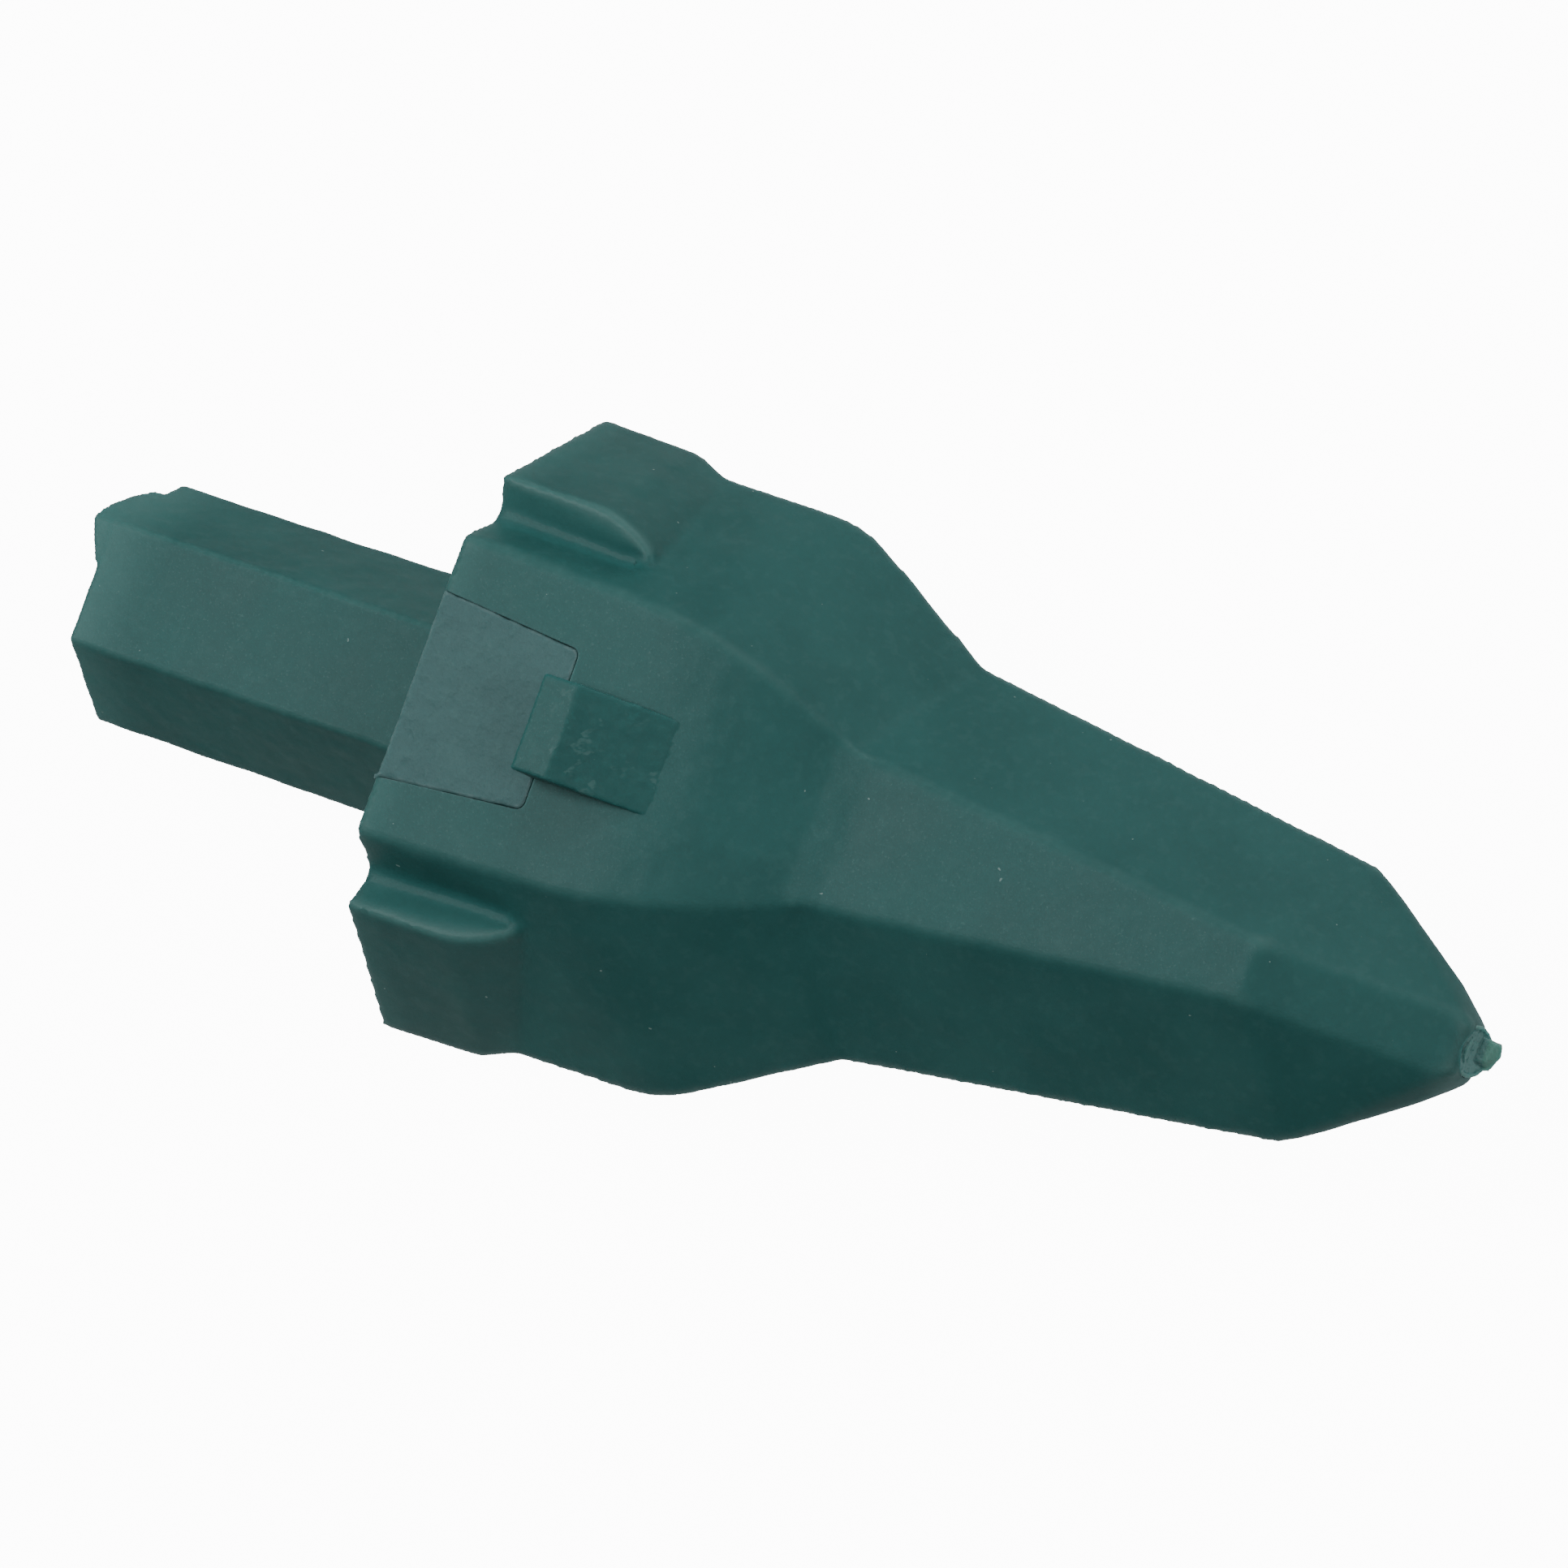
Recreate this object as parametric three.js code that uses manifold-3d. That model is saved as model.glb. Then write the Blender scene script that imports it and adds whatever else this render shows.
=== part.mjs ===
// Excavator bucket tooth held on a hexagonal shank by a quarter-turn pin, millimetres, +Z up.
// +X runs from the shank's rear end to the tooth's tip.
// The origin is the centre of the shank's rear end face.
import * as THREE from "three";
import { ConvexGeometry } from "three/addons/geometries/ConvexGeometry.js";
import { mergeVertices } from "three/addons/utils/BufferGeometryUtils.js";
import Module from "manifold-3d";

const wasm = await Module();
wasm.setup();

const gap = 0.3; // clearance between touching pieces
const through = 1; // how far a cutting tool runs past the surface it opens

// Shank: a regular hexagon with one flat up.
const acrossFlats = 41;
const shankExposed = 78.5;
const shankInserted = 62;
const shankChamfer = 2.5;

// Tooth outline. Stations are measured forward from the tooth's rear face, heights from its middle plane.
const halfHeight = 37;
const rearTopHalfWidth = 28.4;
const rearSideHalfWidth = 56.4;
const bendStation = 52;
const bendTopHalfWidth = 26.7;
const bellyStation = 57.5;
const bellyHalfWidth = 55.4;
const valley = { station: 82.2, halfWidth: 14.5, height: 25 };
const noseStart = { station: 89.8, halfWidth: 37.5 };
const wing = { station: 174, halfWidth: 25.9 };
const frontBend = { station: 166, halfWidth: 5.5 };
const tipEdge = { station: 200.3, halfWidth: 5.5, height: 6.1 };
const tipSide = { station: 199.4, halfWidth: 8.7 };
const tipFace = { station: 202, halfWidth: 5.4, height: 5.3, sideHalfWidth: 6 };

// Ears on both sides of the rear.
const earRidge = { halfWidth: 41.2, height: 31, length: 26 };
const earRoot = { inset: 11, drop: 5 }; // inner corner of the ear's rear end, hidden in the tooth
const earOuter = { halfWidth: 59.2, length: 20.5, lean: 0.6 };
const earFront = { station: 34.5, halfWidth: 35.2, height: 28.6 };
const grooveBottom = { halfWidth: 34, height: 26.3 };
const grooveLength = 31;
const grooveOverlap = 0.1; // keeps the groove's planes off the edges that they meet

// Ramp that rises rearward from the shoulder and overhangs the plate's front edge.
const rampRear = 28.4;
const rampTopFront = 35.9;
const rampHeight = 7.7;
const rampHalfWidth = 9.2;
const rampRoot = 3; // depth of the ramp's own root inside the tooth

// Lock plate: a tapered dovetail, wider at the rear and at the bottom.
const plateLength = 29.9;
const plateThickness = 5;
const plateRearHalfWidth = 17.9;
const plateFrontHalfWidth = 15.2;
const plateUndercut = 1.2;
const plateCornerRadius = 1.6;
const plateSeam = 0.4;
const plateTravel = 22;

// Quarter-turn pin.
const pinStation = 18;
const pinRadius = 7;
const pinBottom = 8.6;
const pinTop = 31.3;
const footRadius = 13;
const footWidth = 12;
const footTop = 15.7;
const footGap = 0.4;
const lipBottom = 16.1;
const bush = { radius: 10, low: 20.95, high: 26.2 };
const pinSeal = { ringRadius: 5.95, tubeRadius: 1.05, height: 23.6 };
const roofTop = 26.35;
const counterboreRadius = 11.5;
const washer = { radius: 10.6, low: 26.65, high: 27.8 };
const snapRing = { outer: 9.2, inner: 6.3, openAngle: 0.35, low: 28.4, thickness: 1 };
const driveAcrossFlats = 8;
const driveBottom = 26.9;

// Sprung plungers in the ears, square to the shank's two lower side flats.
const plungerStation = 13;
const plungerNoseRadius = 5;
const plungerCollarRadius = 7;
const plungerShoulder = 25;
const plungerCollarEnd = 31;
const plungerChamfer = 0.6;
const plungerSeal = { ringRadius: 4.3, tubeRadius: 0.7, height: 23.1 };
const spring = { radius: 5, wire: 0.8, turns: 4, end: 43 };
const plugRadius = 8;
const plugEnd = 50.8;
const plugChamfer = 0.8;
const plugDrive = { corner: 4.6, depth: 3.5 };
const earBoreEnds = { start: 18, end: 60 };

const toothGreen = 0x2f6663;
const steelGrey = 0x8b9092;
const springSteel = 0x6d7274;
const rubberBlack = 0x1c1f20;
const plateGreen = 0x4d7273;
const bronze = 0x9c7a45;

const station = (x) => shankExposed + x;
const slotFloor = halfHeight - plateThickness - gap;
const socketAcrossFlats = acrossFlats + 2 * gap;

// Solid made from a closed geometry, with its shared vertices merged.
function toSolid(geometry) {
  const bare = geometry.clone();
  bare.deleteAttribute("normal");
  bare.deleteAttribute("uv");
  const merged = mergeVertices(bare, 1e-4);
  const index = merged.index
    ? merged.index.array
    : Array.from({ length: merged.attributes.position.count }, (_, i) => i);
  return new wasm.Manifold(
    new wasm.Mesh({
      numProp: 3,
      vertProperties: new Float32Array(merged.attributes.position.array),
      triVerts: new Uint32Array(index),
    }),
  );
}

function toMesh(name, solid, color, roughness = 0.55, metalness = 0) {
  const { vertProperties, triVerts } = solid.getMesh();
  const geometry = new THREE.BufferGeometry();
  geometry.setAttribute("position", new THREE.BufferAttribute(vertProperties, 3));
  geometry.setIndex(new THREE.BufferAttribute(triVerts, 1));
  const flat = geometry.toNonIndexed();
  flat.computeVertexNormals();
  const material = new THREE.MeshStandardMaterial({ color, roughness, metalness });
  const mesh = new THREE.Mesh(flat, material);
  mesh.name = name;
  return mesh;
}

const union = (...solids) => solids.reduce((a, b) => a.add(b));
const cut = (solid, ...tools) => tools.reduce((a, b) => a.subtract(b), solid);

function hull(points) {
  return toSolid(new ConvexGeometry(points.map((p) => new THREE.Vector3(...p))));
}

// Each point with its mirror images across the middle plane and the upright plane of symmetry.
function mirrored(points) {
  return points.flatMap(([x, y, z]) => [
    [x, y, z],
    [x, -y, z],
    [x, y, -z],
    [x, -y, -z],
  ]);
}

function box(low, high) {
  const size = high.map((v, i) => v - low[i]);
  const centre = high.map((v, i) => (v + low[i]) / 2);
  return toSolid(new THREE.BoxGeometry(...size).translate(...centre));
}

// Turns a geometry built along +Z so that it runs along a direction, and moves it to its base point.
function along(geometry, base, direction) {
  const turn = new THREE.Quaternion().setFromUnitVectors(
    new THREE.Vector3(0, 0, 1),
    new THREE.Vector3(...direction).normalize(),
  );
  return geometry.applyQuaternion(turn).translate(...base);
}

// Solid of revolution about a line, from [radius, distance along the line] pairs that close on themselves.
function turned(profile, base = [0, 0, 0], direction = [0, 0, 1], sides = 24) {
  const points = [...profile, profile[0]].map(([r, h]) => new THREE.Vector2(r, h));
  const geometry = new THREE.LatheGeometry(points, sides).rotateX(Math.PI / 2);
  return toSolid(along(geometry, base, direction));
}

function rod(radius, start, end, base, direction, sides = 24) {
  const profile = [
    [0, start],
    [radius, start],
    [radius, end],
    [0, end],
  ];
  return turned(profile, base, direction, sides);
}

function torus({ ringRadius, tubeRadius, height }, base, direction) {
  const tubeSides = 6;
  const ringSteps = 20;
  const geometry = new THREE.TorusGeometry(ringRadius, tubeRadius, tubeSides, ringSteps);
  geometry.translate(0, 0, height);
  return toSolid(along(geometry, base, direction));
}

// Hexagonal prism along +X with one flat up.
function hexPrism(flats, start, end) {
  const corner = flats / Math.sqrt(3);
  const geometry = new THREE.CylinderGeometry(corner, corner, end - start, 6)
    .rotateZ(-Math.PI / 2)
    .rotateX(Math.PI / 2)
    .translate((start + end) / 2, 0, 0);
  return toSolid(geometry);
}

// Upright hexagonal prism, for a drive recess.
function hexSocket(flats, low, high, x) {
  const corner = flats / Math.sqrt(3);
  const geometry = new THREE.CylinderGeometry(corner, corner, high - low, 6)
    .rotateX(Math.PI / 2)
    .translate(x, 0, (low + high) / 2);
  return toSolid(geometry);
}

// Side-view outline in X and Z, spread to both sides of the plane of symmetry.
function sideProfile(outline, halfWidth) {
  const shape = new THREE.Shape(outline.map(([x, z]) => new THREE.Vector2(x, z)));
  const geometry = new THREE.ExtrudeGeometry(shape, { depth: 2 * halfWidth, bevelEnabled: false })
    .rotateX(Math.PI / 2)
    .translate(0, halfWidth, 0);
  return toSolid(geometry);
}

// The nose's side facets are flat,
// so the height of any point on them follows from its distance to the side edge.
const noseTaper = (noseStart.halfWidth - wing.halfWidth) / (wing.station - noseStart.station);
const noseSideAt = (x) => noseStart.halfWidth - noseTaper * (x - noseStart.station);
const noseSlope = valley.height / (noseSideAt(valley.station) - valley.halfWidth);
const frontBendHeight = noseSlope * (noseSideAt(frontBend.station) - frontBend.halfWidth);
const topTaper = (valley.halfWidth - frontBend.halfWidth) / (frontBend.station - valley.station);
const topFall = (valley.height - frontBendHeight) / (frontBend.station - valley.station);

function bodyBlock() {
  return hull(
    mirrored([
      [station(0), rearTopHalfWidth, halfHeight],
      [station(0), rearSideHalfWidth, 0],
      [station(bendStation), bendTopHalfWidth, halfHeight],
      [station(bellyStation), bellyHalfWidth, 0],
      [station(valley.station), valley.halfWidth, valley.height],
      [station(noseStart.station), noseStart.halfWidth, 0],
    ]),
  );
}

// The nose starts inside the body block, on the same planes that it shows further forward.
function nose() {
  const hidden = 14;
  return hull(
    mirrored([
      [
        station(valley.station - hidden),
        valley.halfWidth + topTaper * hidden,
        valley.height + topFall * hidden,
      ],
      [station(noseStart.station - hidden), noseSideAt(noseStart.station - hidden), 0],
      [station(frontBend.station), frontBend.halfWidth, frontBendHeight],
      [station(wing.station), wing.halfWidth, 0],
      [station(tipEdge.station), tipEdge.halfWidth, tipEdge.height],
      [station(tipSide.station), tipSide.halfWidth, 0],
      [station(tipFace.station), tipFace.halfWidth, tipFace.height],
      [station(tipFace.station), tipFace.sideHalfWidth, 0],
    ]),
  );
}

function ear(side) {
  const buried = 4;
  const upper = [
    [0, earRidge.halfWidth - earRoot.inset, earRidge.height - earRoot.drop],
    [0, earRidge.halfWidth, earRidge.height],
    [earRidge.length, earRidge.halfWidth, earRidge.height],
    [earFront.station, earFront.halfWidth, earFront.height],
    [earFront.station, earFront.halfWidth - buried, earFront.height - buried],
    [earFront.station - buried, bellyHalfWidth, 0],
    [0, earOuter.halfWidth, 0],
    [earOuter.length, earOuter.halfWidth - earOuter.lean, 0],
  ];
  const points = upper.flatMap(([x, y, z]) => [
    [station(x), side * y, z],
    [station(x), side * y, -z],
  ]);
  return hull(points);
}

// V-groove between the body's side and the ear's ridge, above and below.
function earGroove(side) {
  const section = [
    [rearTopHalfWidth + grooveOverlap, halfHeight],
    [grooveBottom.halfWidth, grooveBottom.height],
    [earRidge.halfWidth - grooveOverlap, earRidge.height],
    [earRidge.halfWidth, halfHeight + through],
  ];
  const cuts = [1, -1].map((face) =>
    hull(
      section.flatMap(([y, z]) => [
        [station(-through), side * y, face * z],
        [station(grooveLength), side * y, face * z],
      ]),
    ),
  );
  return union(...cuts);
}

function ramp() {
  return sideProfile(
    [
      [station(rampRear), halfHeight + gap],
      [station(plateLength + plateSeam), halfHeight + gap],
      [station(plateLength + plateSeam), halfHeight - rampRoot],
      [station(bendStation), halfHeight - rampRoot],
      [station(bendStation), halfHeight],
      [station(rampTopFront), halfHeight + rampHeight],
      [station(rampRear), halfHeight + rampHeight],
    ],
    rampHalfWidth,
  );
}

// Plan outline of the plate or its slot at one height: two rear corners and two rounded front corners.
function plateOutline(rear, front, rearHalf, frontHalf, radius, z) {
  const arcSteps = 4;
  const slope = Math.atan2(rearHalf - frontHalf, front - rear);
  const points = [];
  for (const side of [1, -1]) {
    points.push([station(rear), side * rearHalf, z]);
    for (let i = 0; i <= arcSteps; i++) {
      const angle = ((Math.PI / 2 - slope) * i) / arcSteps;
      points.push([
        station(front - radius + radius * Math.cos(angle)),
        side * (frontHalf - radius + radius * Math.sin(angle)),
        z,
      ]);
    }
  }
  return points;
}

function dovetail(rear, front, spread, low, high) {
  const wider = (z) => (plateUndercut * (halfHeight - z)) / plateThickness;
  return hull(
    [low, high].flatMap((z) =>
      plateOutline(
        rear,
        front,
        plateRearHalfWidth + spread + wider(z),
        plateFrontHalfWidth + spread + wider(z),
        plateCornerRadius + spread,
        z,
      ),
    ),
  );
}

const rearCentre = [station(0), 0, 0];
const pinAxis = [station(pinStation), 0, 0];
const up = [0, 0, 1];
const forward = [1, 0, 0];

// Direction of an ear's plunger, outward and down at 30 degrees.
const plungerDirection = (side) => [0, side * Math.cos(Math.PI / 6), -Math.sin(Math.PI / 6)];
const plungerBase = [station(plungerStation), 0, 0];

const mouthSeal = { start: 1.2, end: 4.8, flats: 50 };
const cushion = { start: 62.4, end: 70.2, radius: 19 };
const stopPin = { station: 3.2, radius: 2, low: 26, high: 33.6 };
const pad = { rear: 6, front: 21, inner: 13.1, outer: 16, depth: 2.5 };
const tipBore = { radius: 2.8, start: 186, seat: 201, headRadius: 4.2, headEnd: 202.7, runOut: 5 };
const stopPinAxis = [station(stopPin.station), 0, 0];

function padPocket(side) {
  const inner = side * (pad.inner - gap);
  const outer = side * (pad.outer + gap);
  return box(
    [station(pad.rear - gap), Math.min(inner, outer), slotFloor - pad.depth - gap],
    [station(pad.front + gap), Math.max(inner, outer), slotFloor + through],
  );
}

function earBore(side) {
  const { start, end } = earBoreEnds;
  const bore = (radius, from) => rod(radius + gap, from, end, plungerBase, plungerDirection(side));
  return union(
    bore(plungerNoseRadius, start),
    bore(plungerCollarRadius, plungerShoulder),
    bore(plugRadius, spring.end),
  );
}

function toothBody() {
  const outer = union(bodyBlock(), nose(), ear(1), ear(-1));
  const grooved = cut(outer, earGroove(1), earGroove(-1));
  const slotted = cut(
    grooved,
    dovetail(-through, plateLength + plateSeam, plateSeam, slotFloor, halfHeight + through),
  );
  const tipEnd = tipFace.station + tipBore.runOut;
  const insert = union(
    rod(tipBore.radius + gap, tipBore.start - gap, tipEnd, rearCentre, forward),
    rod(tipBore.headRadius + gap, tipBore.seat, tipEnd, rearCentre, forward, 32),
  );
  const pinBores = union(
    rod(bush.radius + gap, halfHeight / 2, roofTop + through, pinAxis, up),
    rod(counterboreRadius, roofTop, slotFloor + through, pinAxis, up),
  );
  return cut(
    union(slotted, ramp()),
    hexPrism(socketAcrossFlats, station(-through), station(cushion.start + gap)),
    hexPrism(mouthSeal.flats + 2 * gap, station(-through), station(mouthSeal.end + gap)),
    rod(cushion.radius + gap, shankInserted, cushion.end + gap, rearCentre, forward),
    pinBores,
    rod(stopPin.radius + gap, stopPin.low - gap, slotFloor + through, stopPinAxis, up),
    padPocket(1),
    padPocket(-1),
    earBore(1),
    earBore(-1),
    insert,
  );
}

function hexShank() {
  const length = shankExposed + shankInserted;
  const corner = acrossFlats / Math.sqrt(3);
  const chamferCone = turned(
    [
      [0, -through],
      [corner + length, -through],
      [corner + through, length - shankChamfer],
      [corner - shankChamfer, length],
      [0, length],
    ],
    [0, 0, 0],
    forward,
    36,
  );
  const bar = hexPrism(acrossFlats, 0, length).intersect(chamferCone);
  const slotHalfWidth = pinRadius + gap;
  const slotBottom = pinBottom - footGap;
  return cut(
    bar,
    box(
      [station(pinStation), -slotHalfWidth, slotBottom],
      [station(shankInserted + through), slotHalfWidth, acrossFlats],
    ),
    rod(slotHalfWidth, slotBottom, acrossFlats, pinAxis, up),
    rod(footRadius + footGap, slotBottom, lipBottom, pinAxis, up),
  );
}

function lockPlate() {
  const grooveHalfWidth = stopPin.radius + plateSeam;
  const groove = box(
    [station(stopPin.station - grooveHalfWidth), -grooveHalfWidth, slotFloor - through],
    [
      station(stopPin.station + plateTravel + grooveHalfWidth),
      grooveHalfWidth,
      stopPin.high + plateSeam,
    ],
  );
  return cut(dovetail(0, plateLength, 0, halfHeight - plateThickness, halfHeight), groove);
}

// The foot lies across the shank's slot at rest, which is the locked position.
function lockPin() {
  const sealGroove = { low: 22.2, high: 25, radius: 4.6 };
  const ringGroove = { low: 28.1, high: 29.7, radius: 6 };
  const core = turned(
    [
      [0, pinBottom],
      [pinRadius, pinBottom],
      [pinRadius, sealGroove.low],
      [sealGroove.radius, sealGroove.low],
      [sealGroove.radius, sealGroove.high],
      [pinRadius, sealGroove.high],
      [pinRadius, ringGroove.low],
      [ringGroove.radius, ringGroove.low],
      [ringGroove.radius, ringGroove.high],
      [pinRadius, ringGroove.high],
      [pinRadius, pinTop],
      [0, pinTop],
    ],
    pinAxis,
  );
  const bar = box(
    [station(pinStation) - footWidth / 2, -footRadius - through, pinBottom],
    [station(pinStation) + footWidth / 2, footRadius + through, footTop],
  );
  const foot = bar.intersect(rod(footRadius, pinBottom, footTop, pinAxis, up));
  return cut(
    union(core, foot),
    hexSocket(driveAcrossFlats, driveBottom, pinTop + through, station(pinStation)),
  );
}

// Open ring whose ends leave a gap towards the tooth's tip.
function retainingRing() {
  const { outer, inner, openAngle, low, thickness } = snapRing;
  const shape = new THREE.Shape();
  shape.absarc(0, 0, outer, openAngle, 2 * Math.PI - openAngle, false);
  shape.absarc(0, 0, inner, 2 * Math.PI - openAngle, openAngle, true);
  const geometry = new THREE.ExtrudeGeometry(shape, {
    depth: thickness,
    bevelEnabled: false,
    curveSegments: 16,
  });
  return toSolid(along(geometry, [station(pinStation), 0, low], up));
}

// Plain ring that fits round the pin.
function collar({ radius, low, high }) {
  const bore = pinRadius + gap;
  return turned(
    [
      [bore, low],
      [radius, low],
      [radius, high],
      [bore, high],
    ],
    pinAxis,
  );
}

function drivePlug() {
  const radius = 3.6;
  const taper = 0.4;
  const rim = 1;
  const crown = 0.2;
  return turned(
    [
      [0, driveBottom + gap],
      [radius - taper, driveBottom + gap],
      [radius, driveBottom + 2 * taper + gap],
      [radius, pinTop - crown - rim],
      [radius - rim, pinTop - crown],
      [0, pinTop],
    ],
    pinAxis,
  );
}

function rubberPad(side) {
  const inner = side * pad.inner;
  const outer = side * pad.outer;
  return box(
    [station(pad.rear), Math.min(inner, outer), slotFloor - pad.depth],
    [station(pad.front), Math.max(inner, outer), slotFloor],
  );
}

function noseCushion() {
  const { start, end, radius } = cushion;
  const hole = 4;
  const chamfer = 1.5;
  return turned(
    [
      [hole, start],
      [radius - chamfer, start],
      [radius, start + chamfer],
      [radius, end - chamfer],
      [radius - chamfer, end],
      [hole, end],
    ],
    rearCentre,
    forward,
  );
}

function mouthSealRing() {
  return cut(
    hexPrism(mouthSeal.flats, station(mouthSeal.start), station(mouthSeal.end)),
    hexPrism(socketAcrossFlats, station(0), station(mouthSeal.end + through)),
  );
}

// Hard button set in the tip, with the stub that is left where it broke off its runner.
function tipInsert() {
  const { radius, start, seat, headRadius, headEnd } = tipBore;
  const chamfer = 0.6;
  const stubProfile = [
    [0, -1],
    [2.4, -1],
    [2, 1.6],
    [1.1, 3.2],
    [0, 3.6],
  ];
  const stubPlace = [station(headEnd), 1.4, -0.6];
  const stubLean = [0.95, 0.3, -0.05];
  const stubSides = 10;
  const button = turned(
    [
      [0, start],
      [radius, start],
      [radius, seat + gap],
      [headRadius, seat + gap],
      [headRadius, headEnd - chamfer],
      [headRadius - chamfer, headEnd],
      [0, headEnd],
    ],
    rearCentre,
    forward,
  );
  return union(button, turned(stubProfile, stubPlace, stubLean, stubSides));
}

function earPlunger(side) {
  const sealGroove = { low: 22, high: 24.2, radius: 3.3 };
  const guide = { radius: 2.6, end: 36 };
  const noseEnd = acrossFlats / 2 + gap;
  return turned(
    [
      [0, noseEnd],
      [plungerNoseRadius - plungerChamfer, noseEnd],
      [plungerNoseRadius, noseEnd + plungerChamfer],
      [plungerNoseRadius, sealGroove.low],
      [sealGroove.radius, sealGroove.low],
      [sealGroove.radius, sealGroove.high],
      [plungerNoseRadius, sealGroove.high],
      [plungerNoseRadius, plungerShoulder + gap],
      [plungerCollarRadius, plungerShoulder + gap],
      [plungerCollarRadius, plungerCollarEnd],
      [guide.radius, plungerCollarEnd],
      [guide.radius, guide.end],
      [0, guide.end],
    ],
    plungerBase,
    plungerDirection(side),
  );
}

class Helix extends THREE.Curve {
  constructor(radius, start, end, turns) {
    super();
    Object.assign(this, { radius, start, end, turns });
  }
  getPoint(t, target = new THREE.Vector3()) {
    const angle = 2 * Math.PI * this.turns * t;
    const height = this.start + (this.end - this.start) * t;
    return target.set(this.radius * Math.cos(angle), this.radius * Math.sin(angle), height);
  }
}

function earSpring(side) {
  const { radius, wire, turns, end } = spring;
  const stepsPerTurn = 12;
  const section = new THREE.Shape();
  section.absarc(0, 0, wire, 0, 2 * Math.PI, false);
  const path = new Helix(radius, plungerCollarEnd + gap + wire, end - gap - wire, turns);
  const geometry = new THREE.ExtrudeGeometry(section, {
    extrudePath: path,
    steps: turns * stepsPerTurn,
    curveSegments: 6,
    bevelEnabled: false,
  });
  return toSolid(along(geometry, plungerBase, plungerDirection(side)));
}

function earPlug(side) {
  const direction = plungerDirection(side);
  const plug = turned(
    [
      [0, spring.end + gap],
      [plugRadius - plugChamfer, spring.end + gap],
      [plugRadius, spring.end + gap + plugChamfer],
      [plugRadius, plugEnd - plugChamfer],
      [plugRadius - plugChamfer, plugEnd],
      [0, plugEnd],
    ],
    plungerBase,
    direction,
  );
  const { corner, depth } = plugDrive;
  const drive = along(
    new THREE.CylinderGeometry(corner, corner, 2 * depth, 6).rotateX(Math.PI / 2),
    plungerBase.map((v, i) => v + direction[i] * plugEnd),
    direction,
  );
  return cut(plug, toSolid(drive));
}

const tooth = new THREE.Group();
tooth.name = "bucket_tooth";
const add = (...args) => tooth.add(toMesh(...args));

add("tooth_body", toothBody(), toothGreen);
add("hex_shank", hexShank(), toothGreen);
add("lock_plate", lockPlate(), plateGreen, 0.5);
add("tip_insert", tipInsert(), toothGreen, 0.6);
add("lock_pin", lockPin(), steelGrey, 0.35, 1);
add("pin_bush", collar(bush), bronze, 0.4, 1);
add("pin_seal_ring", torus(pinSeal, pinAxis, up), rubberBlack, 0.8);
add("thrust_washer", collar(washer), steelGrey, 0.35, 1);
add("retaining_ring", retainingRing(), springSteel, 0.35, 1);
add("drive_plug", drivePlug(), rubberBlack, 0.8);
add("plate_stop_pin", rod(stopPin.radius, stopPin.low, stopPin.high, stopPinAxis, up), steelGrey, 0.35, 1);
add("nose_cushion", noseCushion(), rubberBlack, 0.85);
add("mouth_seal", mouthSealRing(), rubberBlack, 0.85);
for (const [hand, side] of [
  ["left", 1],
  ["right", -1],
]) {
  add("plate_pad_" + hand, rubberPad(side), rubberBlack, 0.85);
  add("ear_plunger_" + hand, earPlunger(side), steelGrey, 0.35, 1);
  const seal = torus(plungerSeal, plungerBase, plungerDirection(side));
  add("plunger_seal_" + hand, seal, rubberBlack, 0.8);
  add("ear_spring_" + hand, earSpring(side), springSteel, 0.35, 1);
  add("ear_plug_" + hand, earPlug(side), toothGreen, 0.5);
}

export default tooth;
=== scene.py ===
# A bucket tooth on its hexagonal shank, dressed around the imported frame. Metres; mm turns millimetres into them.
import bpy
import bmesh
import math
import numpy as np
from mathutils import Euler, Matrix, Vector


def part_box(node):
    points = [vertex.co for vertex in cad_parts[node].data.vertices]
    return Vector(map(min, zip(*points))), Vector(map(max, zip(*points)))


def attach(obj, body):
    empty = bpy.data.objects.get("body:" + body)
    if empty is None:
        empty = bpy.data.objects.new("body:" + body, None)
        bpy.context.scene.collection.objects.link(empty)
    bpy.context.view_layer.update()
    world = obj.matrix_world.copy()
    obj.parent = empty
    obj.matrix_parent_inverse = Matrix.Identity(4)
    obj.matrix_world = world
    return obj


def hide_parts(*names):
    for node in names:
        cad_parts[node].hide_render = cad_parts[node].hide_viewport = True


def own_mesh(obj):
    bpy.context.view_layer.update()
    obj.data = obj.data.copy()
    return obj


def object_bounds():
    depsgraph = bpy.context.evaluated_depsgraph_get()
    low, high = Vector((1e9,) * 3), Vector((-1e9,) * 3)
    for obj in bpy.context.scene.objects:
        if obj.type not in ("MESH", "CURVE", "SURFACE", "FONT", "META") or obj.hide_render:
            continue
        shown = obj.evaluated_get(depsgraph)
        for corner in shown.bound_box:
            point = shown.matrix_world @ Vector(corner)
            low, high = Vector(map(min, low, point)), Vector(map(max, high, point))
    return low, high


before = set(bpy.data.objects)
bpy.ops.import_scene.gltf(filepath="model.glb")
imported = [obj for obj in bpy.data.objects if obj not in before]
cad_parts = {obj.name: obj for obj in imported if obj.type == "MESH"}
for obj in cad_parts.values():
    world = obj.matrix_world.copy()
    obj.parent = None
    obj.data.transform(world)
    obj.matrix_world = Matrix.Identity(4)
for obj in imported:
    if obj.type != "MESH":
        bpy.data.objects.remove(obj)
cadLow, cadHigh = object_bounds()
mm = 0.001

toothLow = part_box("tooth_body")[0]
shankLow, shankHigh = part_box("hex_shank")
rearX = toothLow.x  # the tooth's rear face: stations are measured forward from it
floorZ = cadLow.z
forward = Vector((1, 0, 0))
up = Vector((0, 0, 1))


def at(x, y, z):  # a place from millimetres: station, width, height
    return Vector((rearX + x * mm, y * mm, z * mm))


# hand work: selecting, editing, finishing

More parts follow.
